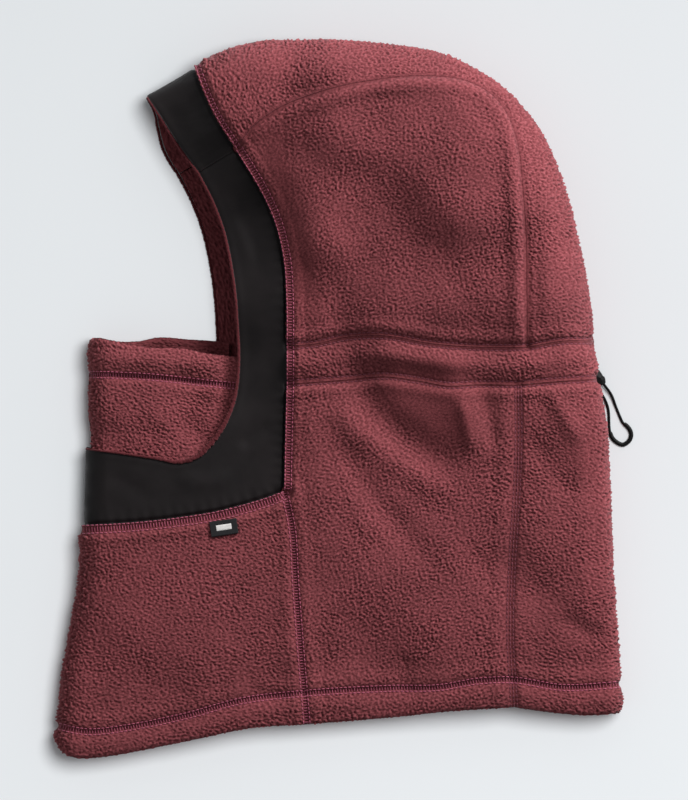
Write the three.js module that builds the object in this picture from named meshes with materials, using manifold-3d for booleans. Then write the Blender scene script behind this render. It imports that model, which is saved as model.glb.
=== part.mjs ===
// Hooded fleece balaclava with a pull-down face mask, lying on its right side.
// Millimetres. +Z is up from the surface it lies on, +Y is towards the crown, -X is towards the face.
// The garment is a flattened tube: an upper (left) layer and a lower (right) layer, joined round a
// rolled rim. Every panel is a grid of plan points laid on that surface, with a depth under it.
import * as THREE from 'three';
import { mergeVertices } from 'three/addons/utils/BufferGeometryUtils.js';
import Module from 'manifold-3d';

const wasm = await Module();
wasm.setup();

// ---- Driving dimensions -------------------------------------------------------------------------
const RIM_RATIO = 0.55; // plan radius of the rolled rim, as a share of the height there
const CELL = 17; // largest cell of a panel's grid
const RIM_STEPS = 4; // grid steps from the rim to the flat
const RIM_ROLL = 22; // plan width of the roll beside the rim
const LAYER_REACH = 20; // from the rim to where the lower layer is free to shift
const FLEECE = [0, 4]; // depths of the outer and inner faces of the fleece panels
const TRIM = [1.6, 2.5]; // woven face trim
const TRIM_FACING = [2.8, 4.6]; // fleece facing behind the trim
const CHANNEL = [0, 2.6]; // outer layer of the drawcord channel
const CHANNEL_BACKING = [6.4, 8.2];
const HEM_TURN_UP = [4.4, 7.2];
const HEM_LOOPER = [7.6, 8.4]; // looper threads inside the hem
const SEAM_THREAD = [0.4, 2.2];
const MASK_DEPTH = 3.4; // mask face where it shows, under the garment's own surface
const MASK_TUCK = 1.7; // how much deeper it runs behind the trim
const MASK_THICKNESS = 2.9;
const SEAM_MARGIN = 1.6; // from a seam's centre line to the panel beside it
const THREAD_HALF_WIDTH = 0.7;
const THREAD_STEP = 9; // longest straight step of a seam's thread
const FACING_SHOWS = 1.2; // facing seen beyond the trim's edge
const LAYER_SHIFT = 12; // the lower layer's face edge lies this much further forward
const MASK_BACK_RISE = 10; // the lower layer's mask edge lies this much higher

const CORD_RADIUS = 0.8;
const CORD_DEPTH = 4.5;
const SLEEVE_RADIUS = 1.3;
const SLEEVE_BORE = 1.1;
const STRAND_OFFSET = 1.1; // half the spacing of the two strands in the eyelet
const EYELET_BORE = 2.3;
const EYELET_BARREL = 2.9;
const EYELET_FLANGE = 4.2;

const LOCK_END = new THREE.Vector3(158, 8.4, 4.6); // centre of the lock's outer end face
const LOCK_ANGLE = THREE.MathUtils.degToRad(-65.7); // direction of the lock's axis in plan
const LABEL_WIDTH = 17;
const LABEL_DROP = 9.6;
const LABEL_THICKNESS = 1.1;
const LABEL_CLEAR = 0.3; // between the label and the fleece under it

// Thickness of the lying garment at stations [x, y, height]; between them it is blended.
const STATIONS = [
  [80, 130, 60], [20, 178, 54], [-60, 185, 38], [-100, 175, 28], [-62, 90, 27], [-60, 20, 27],
  [-30, 70, 33], [5, 100, 46], [40, 60, 48], [120, 70, 50], [150, 24, 40], [60, 22, 39],
  [-10, 20, 33], [30, -60, 34], [-100, -50, 29], [-60, -35, 29], [-150, -60, 28], [-60, -130, 30],
  [-150, -200, 25], [0, -190, 25], [150, -185, 26], [140, -80, 36], [100, -120, 32],
];
const STATION_BLUR = 22;

// Widths of the pieces, from the rim inwards.
const WIDTH = { crown: 36, front: 135, nape: 55, forehead: 50, chin: 125, hem: 170, mask: 100, channel: 188 };

// ---- Plan curves --------------------------------------------------------------------------------
function spline(points) {
  const knots = points.map(([x, y]) => new THREE.Vector3(x, y, 0));
  return new THREE.CatmullRomCurve3(knots, false, 'centripetal');
}

const TIP = [-115.3, 183.3];
const TRIM_TOP = [-85.4, 198];
const CROWN_FRONT = [-61, 149.5];
const CROSS_FACE = [-83.4, 136.2];
const CHANNEL_FRONT_TOP = [-30.6, 32.1];
const CHANNEL_FRONT_BOTTOM = [-30.6, 9.4];
const CROWN_BACK = [113.2, 31.4];
const BACK_NECK_TOP = [107.6, 8.8];
const CHANNEL_RIM_TOP = [154.3, 35.3];
const CHANNEL_RIM_BOTTOM = [155.5, 12.3];
const CHIN_CORNER = [-32.1, -54.8];
const CHIN_RIM_TOP = [-153.1, -30];
const CHIN_RIM_BOTTOM = [-154.4, -75.4];
const HEM_FRONT_RIM = [-169.6, -205.5];
const HEM_FRONT_SEAM = [-18.6, -194.8];
const HEM_BACK_SEAM = [105.6, -184.4];
const HEM_BACK_RIM = [168.6, -188.2];

// The rolled rim: forehead, crown, channel, nape, and the fold under the chin.
const rimForehead = spline([TIP, TRIM_TOP]);
const rimCrown = spline([TRIM_TOP, [-61.8, 207.3], [-34.8, 212.7], [-4.8, 215.1], [25.2, 213.3],
  [55.2, 208.3], [79.2, 199.4], [100.2, 185.7], [118.2, 164.7], [130.2, 140.7], [139, 113.7], [144.6, 89.7],
  [149.4, 65.7], CHANNEL_RIM_TOP]);
const rimChannel = spline([CHANNEL_RIM_TOP, [154.4, 24], CHANNEL_RIM_BOTTOM]);
const rimBack = spline([CHANNEL_RIM_BOTTOM, [160, -15], [161.8, -45], [164.2, -108], [167.8, -152],
  HEM_BACK_RIM]);
const rimChin = spline([CHIN_RIM_TOP, CHIN_RIM_BOTTOM]);
const rimFront = spline([CHIN_RIM_BOTTOM, [-157.4, -113], [-162.4, -140], [-166, -163], HEM_FRONT_RIM]);

// Edge of the face opening, in the forehead and in the cheek and chin.
const faceForehead = spline([TIP, [-105, 167.7], [-95, 152], CROSS_FACE]);
const faceCheek = spline([CROSS_FACE, [-74.6, 119], [-67.4, 99], [-61.8, 70], [-59.6, 45], [-58.9, 20],
  [-61.2, 0.3], [-66, -12.9], [-73, -24.6], [-84, -35.2], [-95, -38.3], [-110, -35.8], [-130, -32.8],
  CHIN_RIM_TOP]);

// Seams.
const trimForehead = spline([TRIM_TOP, [-80.4, 184], [-72.6, 167.5], CROWN_FRONT]);
const trimHood = spline([CROWN_FRONT, [-45.6, 124], [-37.6, 106], [-32.4, 84], [-30.8, 60],
  CHANNEL_FRONT_TOP]);
const trimChannel = spline([CHANNEL_FRONT_TOP, CHANNEL_FRONT_BOTTOM]);
const trimNeck = spline([CHANNEL_FRONT_BOTTOM, [-31.4, -20], CHIN_CORNER]);
const chinSeam = spline([CHIN_CORNER, [-45, -59.6], [-71.4, -66.8], [-97.5, -71], [-124, -73.8],
  CHIN_RIM_BOTTOM]);
const frontNeckSeam = spline([CHIN_CORNER, [-27.4, -78], [-25.4, -110], [-22.4, -150], HEM_FRONT_SEAM]);
const crownSeam = spline([CROWN_FRONT, [-51, 163], [-34, 175], [-8, 184.6], [20, 191], [50, 193.6],
  [74, 191.6], [90, 184], [101, 172], [107.4, 155], [110.6, 125], [112.6, 94], [113, 62], CROWN_BACK]);
const channelTopSide = spline([CHANNEL_FRONT_TOP, [-14, 33.4], [6, 37.6], [28, 38.2], [57, 33.4], [86, 31.4],
  CROWN_BACK]);
const channelTopBack = spline([CROWN_BACK, [134, 35], CHANNEL_RIM_TOP]);
const channelBottomSide = spline([CHANNEL_FRONT_BOTTOM, [4, 11.8], [27, 13.8], [47, 11.4], [66, 8.2], [84, 9],
  BACK_NECK_TOP]);
const channelBottomBack = spline([BACK_NECK_TOP, [130, 10.8], CHANNEL_RIM_BOTTOM]);
const backNeckSeam = spline([BACK_NECK_TOP, [108, -20], [107.2, -50], [104.4, -95], [103, -140],
  HEM_BACK_SEAM]);
const hemFront = spline([HEM_FRONT_RIM, [-156.4, -214.9], [-137, -213.8], [-84.6, -203.6], [-52, -197],
  HEM_FRONT_SEAM]);
const hemSide = spline([HEM_FRONT_SEAM, [30, -190.8], [70, -186.6], HEM_BACK_SEAM]);
const hemBack = spline([HEM_BACK_SEAM, [122, -186.9], [148, -189.3], HEM_BACK_RIM]);

// Outline that the rim follows. Past the hem and the face opening it only carries the surface on.
const HEM_RUN_OUT = [[171, -250], [-172, -250]];
const FACE_RUN_OUT = [[-153.1, 60], [-153.1, 164.8]];
function outlinePoints() {
  const rims = [rimForehead, rimCrown, rimChannel, rimBack];
  const points = rims.flatMap((rim) => rim.getSpacedPoints(40));
  HEM_RUN_OUT.forEach(([x, y]) => points.push(new THREE.Vector3(x, y, 0)));
  points.push(...rimFront.getSpacedPoints(24).reverse(), ...rimChin.getSpacedPoints(8).reverse());
  FACE_RUN_OUT.forEach(([x, y]) => points.push(new THREE.Vector3(x, y, 0)));
  return points;
}
const outline = outlinePoints();

// ---- The surface --------------------------------------------------------------------------------
// Nearest point of the outline: how far away it is, and the way inwards from it.
function fromRim(x, y) {
  let best = Infinity;
  let inward = [0, 0];
  for (let i = 0; i < outline.length; i += 1) {
    const a = outline[i];
    const b = outline[(i + 1) % outline.length];
    const run = [b.x - a.x, b.y - a.y];
    const square = run[0] ** 2 + run[1] ** 2;
    if (square > 0) {
      const share = THREE.MathUtils.clamp(((x - a.x) * run[0] + (y - a.y) * run[1]) / square, 0, 1);
      const gap = Math.hypot(x - a.x - share * run[0], y - a.y - share * run[1]);
      if (gap < best) {
        best = gap;
        const length = Math.sqrt(square);
        inward = [run[1] / length, -run[0] / length];
      }
    }
  }
  return { distance: best, inward };
}

function heightAt(x, y) {
  let total = 0;
  let sum = 0;
  for (const [sx, sy, height] of STATIONS) {
    const weight = ((x - sx) ** 2 + (y - sy) ** 2 + STATION_BLUR ** 2) ** -2;
    total += weight;
    sum += weight * height;
  }
  return sum / total;
}

// Point at a depth under the garment's surface. side is 1 on the upper layer, -1 on the lower one
// and 0 on the rim between them, whose section is an ellipse.
function surfacePoint({ x, y, side }, depth) {
  const half = heightAt(x, y) / 2;
  const radius = 2 * half * RIM_RATIO;
  const { distance, inward } = fromRim(x, y);
  const share = side === 0 ? 0 : Math.min(distance / radius, 1);
  const across = 1 - share;
  const up = Math.sqrt(1 - across ** 2);
  const normal = new THREE.Vector2(across / radius, up / half).normalize();
  return new THREE.Vector3(
    x + inward[0] * depth * normal.x,
    y + inward[1] * depth * normal.x,
    half + side * (half * up - depth * normal.y),
  );
}

function ramp(from, to, value) {
  return THREE.MathUtils.smoothstep((value - from) / (to - from), 0, 1);
}

// A plan point of the upper layer, carried to the lower layer.
function below({ x, y }) {
  const { distance } = fromRim(x, y);
  const free = Math.min(distance / LAYER_REACH, 1);
  const shift = LAYER_SHIFT * free * ramp(184, 138, y) * ramp(-45, 20, y) * ramp(90, -50, x);
  return { x: x - shift, y, side: -1 };
}

function maskBelow({ x, y }) {
  const rise = MASK_BACK_RISE * ramp(-150, -80, x) * ramp(-20, 35, y);
  return { ...below({ x, y }), y: y + rise };
}

// ---- Grids of plan points -----------------------------------------------------------------------
function cells(length, size = CELL) {
  return Math.max(1, Math.ceil(length / size));
}

// Shares from 0 to 1, closer together near 0, where the rim is.
function rimShares(width, size = CELL) {
  const roll = Math.min(0.9, RIM_ROLL / width);
  const shares = [];
  for (let i = 0; i < RIM_STEPS; i += 1) {
    shares.push(roll * (1 - Math.cos((i / RIM_STEPS) * (Math.PI / 2))));
  }
  const flat = cells(width * (1 - roll), size);
  for (let i = 0; i <= flat; i += 1) {
    shares.push(roll + ((1 - roll) * i) / flat);
  }
  return shares;
}

function evenShares(count) {
  return Array.from({ length: count + 1 }, (_, i) => i / count);
}

// Patch between four plan curves: u runs along first and last, v runs from first to last.
// start and end join the ends of first and last. margins are [at v=0, at v=1, at u=0, at u=1].
function patch(first, last, start, end, uShares, vShares, margins) {
  const at = (u, v) => {
    const a = first(u);
    const b = last(u);
    const c = start(v);
    const d = end(v);
    const corner = (k) => (1 - u) * (1 - v) * first(0)[k] + u * (1 - v) * first(1)[k]
      + (1 - u) * v * last(0)[k] + u * v * last(1)[k];
    return ['x', 'y'].map((k) => (1 - v) * a[k] + v * b[k] + (1 - u) * c[k] + u * d[k] - corner(k));
  };
  const span = (p, q) => Math.hypot(p[0] - q[0], p[1] - q[1]);
  return vShares.map((v) => uShares.map((u) => {
    const wide = span(at(0, v), at(1, v));
    const deep = span(at(u, 0), at(u, 1));
    const uIn = THREE.MathUtils.lerp(margins[2] / wide, 1 - margins[3] / wide, u);
    const vIn = THREE.MathUtils.lerp(margins[0] / deep, 1 - margins[1] / deep, v);
    const [x, y] = at(uIn, vIn);
    return { x, y, side: 1 };
  }));
}

// Moves a plan point that is too near a seam straight away from it, to the right of its direction.
function clearOf(curve, margin) {
  const points = curve.getSpacedPoints(150);
  return (point) => {
    const here = new THREE.Vector3(point.x, point.y, 0);
    const gaps = points.map((other) => other.distanceTo(here));
    const least = Math.min(...gaps);
    if (least > 2 * margin) {
      return point;
    }
    const nearest = THREE.MathUtils.clamp(gaps.indexOf(least), 1, points.length - 2);
    const way = points[nearest + 1].clone().sub(points[nearest - 1]).normalize();
    const gap = (here.x - points[nearest].x) * way.y - (here.y - points[nearest].y) * way.x;
    const push = Math.max(0, margin - gap);
    return { ...point, x: point.x + way.y * push, y: point.y - way.x * push };
  };
}

const along = (curve) => (share) => curve.getPointAt(THREE.MathUtils.clamp(share, 0, 1));
const back = (curve) => (share) => curve.getPointAt(THREE.MathUtils.clamp(1 - share, 0, 1));

const totalShare = (parts) => parts.reduce((sum, part) => sum + part.share, 0);

// Two or more curves end to end, each with a share of the run.
function chain(parts) {
  const total = totalShare(parts);
  return (share) => {
    let left = THREE.MathUtils.clamp(share, 0, 1) * total;
    for (const part of parts) {
      if (left <= part.share || part === parts[parts.length - 1]) {
        return part.at(Math.min(left / part.share, 1));
      }
      left -= part.share;
    }
    return undefined;
  };
}

const run = (curve) => ({ at: along(curve), share: curve.getLength() });
const runBack = (curve) => ({ at: back(curve), share: curve.getLength() });

const lower = (grid, carry = below) => grid.map((row) => row.map((point) => carry(point)));

// The first row of the grid lies on the rim: the lower layer joins on behind it.
function wrapped(grid, carry = below) {
  const rim = grid[0].map((point) => ({ ...point, side: 0 }));
  return [...lower(grid.slice(1), carry).reverse(), rim, ...grid.slice(1)];
}

// ---- Solids -------------------------------------------------------------------------------------
function solid(positions, faces) {
  const geometry = new THREE.BufferGeometry();
  geometry.setAttribute('position', new THREE.Float32BufferAttribute(positions, 3));
  let volume = 0;
  const corner = (i) => new THREE.Vector3().fromArray(positions, 3 * i);
  for (const [a, b, c] of faces) {
    volume += corner(a).dot(corner(b).cross(corner(c)));
  }
  const order = volume > 0 ? faces : faces.map(([a, b, c]) => [a, c, b]);
  geometry.setIndex(order.flat());
  geometry.computeVertexNormals();
  return geometry;
}

// Closed body over a grid of plan points, between two depths. ring joins the last row to the first.
function slab(grid, [outer, inner], ring = false) {
  const rows = grid.length;
  const columns = grid[0].length;
  const depthOf = (depth, point) => (typeof depth === 'function' ? depth(point) : depth);
  const positions = [outer, inner].flatMap((depth) => grid.flatMap((row) => row.flatMap(
    (point) => surfacePoint(point, depthOf(depth, point)).toArray(),
  )));
  const index = (layer, i, j) => (layer * rows + (i % rows)) * columns + j;
  const faces = [];
  const quad = (a, b, c, d) => faces.push([a, b, c], [a, c, d]);
  const strips = ring ? rows : rows - 1;
  for (let i = 0; i < strips; i += 1) {
    for (let j = 0; j < columns - 1; j += 1) {
      quad(index(0, i, j), index(0, i, j + 1), index(0, i + 1, j + 1), index(0, i + 1, j));
      quad(index(1, i, j), index(1, i + 1, j), index(1, i + 1, j + 1), index(1, i, j + 1));
    }
    quad(index(0, i, 0), index(0, i + 1, 0), index(1, i + 1, 0), index(1, i, 0));
    const j = columns - 1;
    quad(index(0, i, j), index(1, i, j), index(1, i + 1, j), index(0, i + 1, j));
  }
  if (!ring) {
    const i = rows - 1;
    for (let j = 0; j < columns - 1; j += 1) {
      quad(index(0, 0, j), index(1, 0, j), index(1, 0, j + 1), index(0, 0, j + 1));
      quad(index(0, i, j), index(0, i, j + 1), index(1, i, j + 1), index(1, i, j));
    }
  }
  return solid(positions, faces);
}

function manifold(geometry) {
  const bare = geometry.clone();
  bare.deleteAttribute('normal');
  bare.deleteAttribute('uv');
  const merged = mergeVertices(bare, 1e-4);
  return new wasm.Manifold(new wasm.Mesh({
    numProp: 3,
    vertProperties: new Float32Array(merged.attributes.position.array),
    triVerts: new Uint32Array(merged.index.array),
  }));
}

function fromManifold(body) {
  const mesh = body.getMesh();
  const geometry = new THREE.BufferGeometry();
  geometry.setAttribute('position', new THREE.BufferAttribute(new Float32Array(mesh.vertProperties), 3));
  geometry.setIndex(Array.from(mesh.triVerts));
  geometry.computeVertexNormals();
  return geometry;
}

const subtract = (base, ...cuts) => fromManifold(
  cuts.reduce((body, cut) => body.subtract(manifold(cut)), manifold(base)),
);
const join = (base, ...others) => fromManifold(
  others.reduce((body, other) => body.add(manifold(other)), manifold(base)),
);

// Strip of stitching laid in a seam, at shares of its length.
function seamStrip(curve, shares) {
  const reach = 0.004; // share either side from which the seam's direction is taken
  return shares.map((share) => {
    const middle = curve(share);
    const ahead = curve(Math.min(share + reach, 1));
    const behind = curve(Math.max(share - reach, 0));
    const way = new THREE.Vector2(ahead.x - behind.x, ahead.y - behind.y).normalize();
    return [-THREAD_HALF_WIDTH, THREAD_HALF_WIDTH].map((offset) => ({
      x: middle.x - way.y * offset,
      y: middle.y + way.x * offset,
      side: 1,
    }));
  });
}

// ---- Materials ----------------------------------------------------------------------------------
const finish = (color, roughness, metalness = 0) => new THREE.MeshStandardMaterial({
  color,
  roughness,
  metalness,
});
const fleece = finish(0x7a3d42, 0.95);
const wovenNylon = finish(0x1f1c1c, 0.6);
const thread = finish(0x6a2f47, 0.7);
const cordBlack = finish(0x111111, 0.8);
const plasticBlack = finish(0x151515, 0.45);
const labelBlack = finish(0x141416, 0.7);
const springSteel = finish(0xb8b8b8, 0.3, 1);

const balaclava = new THREE.Group();
function add(name, geometry, material) {
  const mesh = new THREE.Mesh(geometry, material);
  mesh.name = name;
  balaclava.add(mesh);
}

// ---- Fleece panels ------------------------------------------------------------------------------
const CROWN_TURN = 0.56; // share of the crown seam where it turns down the back of the head
const crownSeamTop = { at: (s) => crownSeam.getPointAt(s * CROWN_TURN) };
const crownSeamDown = { at: (s) => crownSeam.getPointAt(CROWN_TURN + s * (1 - CROWN_TURN)) };
const channelTopParts = [runBack(channelTopBack), runBack(channelTopSide)];
const channelBottomParts = [runBack(channelBottomBack), runBack(channelBottomSide)];
const frontRun = chain([run(trimNeck), run(frontNeckSeam)]);

const crownGrid = patch(along(rimCrown), along(crownSeam), along(trimForehead), back(channelTopBack),
  evenShares(32), rimShares(WIDTH.crown), [0, SEAM_MARGIN, SEAM_MARGIN, SEAM_MARGIN]);
add('crown_panel', slab(wrapped(crownGrid), FLEECE), fleece);

const hoodGrid = patch(crownSeamTop.at, along(channelTopSide), along(trimHood), crownSeamDown.at,
  evenShares(14), evenShares(11), [SEAM_MARGIN, SEAM_MARGIN, SEAM_MARGIN, SEAM_MARGIN])
  .map((row) => row.map(clearOf(crownSeam, SEAM_MARGIN)));
add('hood_side_left', slab(hoodGrid, FLEECE), fleece);
add('hood_side_right', slab(lower(hoodGrid), FLEECE), fleece);

const neckGrid = patch(along(channelBottomSide), along(hemSide), frontRun, along(backNeckSeam),
  evenShares(8), evenShares(11), [SEAM_MARGIN, 0, SEAM_MARGIN, SEAM_MARGIN]);
add('neck_side_left', slab(neckGrid, FLEECE), fleece);
add('neck_side_right', slab(lower(neckGrid), FLEECE), fleece);

const frontGrid = patch(along(rimFront), along(frontNeckSeam), back(chinSeam), along(hemFront),
  evenShares(8), rimShares(WIDTH.front), [0, SEAM_MARGIN, SEAM_MARGIN, 0]);
add('front_neck_panel', slab(wrapped(frontGrid), FLEECE), fleece);

const napeGrid = patch(along(rimBack), along(backNeckSeam), back(channelBottomBack), back(hemBack),
  evenShares(11), rimShares(WIDTH.nape), [0, SEAM_MARGIN, SEAM_MARGIN, 0]);
add('back_neck_panel', slab(wrapped(napeGrid), FLEECE), fleece);

// ---- Face trim ----------------------------------------------------------------------------------
const TRIM_BUTT = 0.4; // from the trim's cross seam to either side of it
const TRIM_CORNER = 0.37; // share of the cheek trim's length at which it turns up from the chin
const crossSeam = spline([CROSS_FACE, CROWN_FRONT]);
const cheekOuter = chain([
  { at: back(chinSeam), share: TRIM_CORNER },
  { at: chain([runBack(trimNeck), runBack(trimChannel), runBack(trimHood)]), share: 1 - TRIM_CORNER },
]);
const cheekShares = [
  ...rimShares(WIDTH.chin).map((share) => share * TRIM_CORNER),
  ...evenShares(11).slice(1).map((share) => TRIM_CORNER + share * (1 - TRIM_CORNER)),
];
const foreheadGrid = (inset) => patch(along(rimForehead), along(crossSeam), along(faceForehead),
  along(trimForehead), evenShares(2), rimShares(WIDTH.forehead), [0, TRIM_BUTT, inset, SEAM_MARGIN]);
const cheekGrid = (inset) => patch(along(rimChin), along(crossSeam), back(faceCheek), cheekOuter,
  evenShares(2), cheekShares, [0, TRIM_BUTT, inset, SEAM_MARGIN]);
add('forehead_trim', slab(wrapped(foreheadGrid(0)), TRIM), wovenNylon);
add('cheek_and_chin_trim', slab(wrapped(cheekGrid(0)), TRIM), wovenNylon);
add('forehead_facing', slab(wrapped(foreheadGrid(-FACING_SHOWS)), TRIM_FACING), fleece);
add('cheek_and_chin_facing', slab(wrapped(cheekGrid(-FACING_SHOWS)), TRIM_FACING), fleece);

// ---- Hem ----------------------------------------------------------------------------------------
const HEM_FRONT_STITCH = [-168.3, -196];
const HEM_BACK_STITCH = [168.4, -170.8];
const HEM_CLEAR = 0.5; // from the hem's edge to the turned-up layer inside it
const HEM_PAST_STITCH = 2; // turned-up layer past its stitching
const hemStitch = spline([HEM_FRONT_STITCH, [-150, -199.2], [-128, -197], [-91, -189.6], [-58, -180.6],
  [-18.6, -176], [30, -173.2], [60, -172.6], [84, -168.6], [105, -168], [135, -172.6], HEM_BACK_STITCH]);
const hemEdge = chain([run(hemFront), run(hemSide), run(hemBack)]);
const hemFrontRim = spline([HEM_FRONT_RIM, HEM_FRONT_STITCH]);
const hemBackRim = spline([HEM_BACK_RIM, HEM_BACK_STITCH]);
const bothRims = [
  ...rimShares(WIDTH.hem).map((share) => share / 2),
  ...rimShares(WIDTH.hem).slice(0, -1).reverse().map((share) => 1 - share / 2),
];
const turned = (grid) => grid[0].map((_, j) => grid.map((row) => row[j]));

// Rows across a band that runs from the front rim to the back rim, closed by the lower layer.
function ringOf(rows) {
  const near = rows.map((row, i) => (
    i === 0 || i === rows.length - 1 ? row.map((point) => ({ ...point, side: 0 })) : row
  ));
  return [...near, ...lower(rows.slice(1, -1)).reverse()];
}

const hemGrid = turned(patch(hemEdge, along(hemStitch), along(hemFrontRim), along(hemBackRim),
  bothRims, evenShares(1), [HEM_CLEAR, -HEM_PAST_STITCH, 0, 0]));
add('hem_turn_up', slab(ringOf(hemGrid), HEM_TURN_UP, true), fleece);
const looperGrid = seamStrip(along(hemStitch), bothRims);
add('hem_coverstitch', slab(ringOf(looperGrid), HEM_LOOPER, true), thread);

// ---- Pull-down mask -----------------------------------------------------------------------------
const MASK_RIM_TOP = [-153.1, 35.8];
const MASK_RIM_STITCH = [-153.1, 15];
const MASK_RIM_FOOT = [-153.9, -66];
const MASK_END_TOP = [-53, 25];
const MASK_END_STITCH = [-53, 7.6];
const MASK_END_FOOT = [-44, -48];
const maskTop = spline([MASK_RIM_TOP, [-146.5, 37], [-126, 33.4], [-110, 30.8], [-95, 30.8], [-78, 27.6],
  MASK_END_TOP]);
const maskStitch = spline([MASK_RIM_STITCH, [-137, 14.7], [-113, 13.5], [-95, 11.7], [-74, 9.3],
  MASK_END_STITCH]);
const maskFoot = spline([MASK_RIM_FOOT, [-97, -62], MASK_END_FOOT]);

function maskFace({ x, y }) {
  const tuck = Math.max(ramp(-8, -22, y), ramp(-114, -94, x));
  return MASK_DEPTH + MASK_TUCK * tuck;
}
const maskInside = (point) => maskFace(point) + MASK_THICKNESS;
const maskEdgeGrid = patch(along(spline([MASK_RIM_TOP, MASK_RIM_STITCH])),
  along(spline([MASK_END_TOP, MASK_END_STITCH])), along(maskTop), along(maskStitch), evenShares(2),
  rimShares(WIDTH.mask), [0, 0, 0, SEAM_MARGIN]);
add('mask_edge', slab(wrapped(maskEdgeGrid, maskBelow), [maskFace, maskInside]), fleece);
const maskPanelGrid = patch(along(spline([MASK_RIM_STITCH, MASK_RIM_FOOT])),
  along(spline([MASK_END_STITCH, MASK_END_FOOT])), along(maskStitch), along(maskFoot), evenShares(7),
  rimShares(WIDTH.mask), [0, 0, SEAM_MARGIN, 0]);
add('mask_panel', slab(wrapped(maskPanelGrid, maskBelow), [maskFace, maskInside]), fleece);

// ---- Stitching laid in the seams ----------------------------------------------------------------
const SEAM_END = 3.2; // from a junction to the thread that stops short of it
const HEM_GAP = 1; // the same at the hem's edge

// Shares along a seam with even steps, stopping short of its ends.
function seamShares(length, startGap, endGap) {
  const steps = evenShares(cells(length, THREAD_STEP));
  return steps.map((s) => THREE.MathUtils.lerp(startGap, length - endGap, s) / length);
}
// The same from the rim inwards, with the steps that the roll needs.
function seamSharesFromRim(length, endGap) {
  return rimShares(length, 2 * THREAD_STEP).map((s) => (s * (length - endGap)) / length);
}

const frontSeamParts = [run(trimHood), run(trimChannel), run(trimNeck), run(frontNeckSeam)];
const seams = {
  crown_seam: { at: along(crownSeam), length: crownSeam.getLength(), ends: [SEAM_END, SEAM_END] },
  front_seam: {
    at: chain(frontSeamParts),
    length: totalShare(frontSeamParts),
    ends: [SEAM_END, HEM_GAP],
  },
  back_seam: { at: along(backNeckSeam), length: backNeckSeam.getLength(), ends: [SEAM_END, HEM_GAP] },
};
for (const [name, { at, length, ends }] of Object.entries(seams)) {
  const strip = seamStrip(at, seamShares(length, ...ends));
  add(`${name}_left`, slab(strip, SEAM_THREAD), thread);
  add(`${name}_right`, slab(lower(strip), SEAM_THREAD), thread);
}
const rimSeams = {
  forehead_seam: { at: along(trimForehead), length: trimForehead.getLength() },
  chin_seam: { at: back(chinSeam), length: chinSeam.getLength() },
  channel_top_seam: { at: chain(channelTopParts), length: totalShare(channelTopParts) },
  channel_bottom_seam: { at: chain(channelBottomParts), length: totalShare(channelBottomParts) },
};
for (const [name, { at, length }] of Object.entries(rimSeams)) {
  add(name, slab(wrapped(seamStrip(at, seamSharesFromRim(length, SEAM_END))), SEAM_THREAD), thread);
}
const maskThread = seamStrip(along(maskStitch), rimShares(WIDTH.mask));
add('mask_coverstitch', slab(wrapped(maskThread, maskBelow), [
  (point) => maskFace(point) + SEAM_THREAD[0],
  (point) => maskFace(point) + SEAM_THREAD[1],
]), thread);

// ---- Drawcord channel ---------------------------------------------------------------------------
const channelGrid = patch(along(rimChannel), along(trimChannel), chain(channelTopParts),
  chain(channelBottomParts), evenShares(2), rimShares(WIDTH.channel),
  [0, SEAM_MARGIN, SEAM_MARGIN, SEAM_MARGIN]);

// The eyelet sits on the lower half of the channel's rim, facing back.
const EYELET_PLAN = { x: 152.3, y: 23.5, side: -1 };
const eyeletCentre = surfacePoint(EYELET_PLAN, 0);
const eyeletOut = eyeletCentre.clone().sub(surfacePoint(EYELET_PLAN, 1)).normalize();
const eyeletFrame = new THREE.Matrix4().makeRotationFromQuaternion(
  new THREE.Quaternion().setFromUnitVectors(new THREE.Vector3(0, 1, 0), eyeletOut),
).setPosition(eyeletCentre);

function lathe(profile, segments) {
  const outlineOf = profile.map(([r, h]) => new THREE.Vector2(r, h));
  const geometry = new THREE.LatheGeometry(outlineOf, segments);
  geometry.deleteAttribute('uv');
  geometry.deleteAttribute('normal');
  return mergeVertices(geometry, 1e-4);
}

const EYELET_SIDES = 20;
const EYELET_DEPTH = 3.2;
const EYELET_CLEAR = 0.3; // round the eyelet's barrel and under its flange
const eyelet = lathe([[EYELET_BORE, -EYELET_DEPTH], [EYELET_BARREL, -EYELET_DEPTH],
  [EYELET_BARREL, EYELET_CLEAR], [EYELET_FLANGE, EYELET_CLEAR], [EYELET_FLANGE, 0.9], [EYELET_BORE, 1.1],
  [EYELET_BORE, -EYELET_DEPTH]], EYELET_SIDES).applyMatrix4(eyeletFrame);
add('cord_eyelet', eyelet, plasticBlack);
const holeRadius = EYELET_BARREL + EYELET_CLEAR;
const eyeletHole = new THREE.CylinderGeometry(holeRadius, holeRadius, 3 * EYELET_DEPTH, EYELET_SIDES)
  .applyMatrix4(eyeletFrame);
add('cord_channel', subtract(slab(wrapped(channelGrid), CHANNEL), eyeletHole), fleece);
add('channel_backing', slab(wrapped(channelGrid), CHANNEL_BACKING), fleece);

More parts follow.
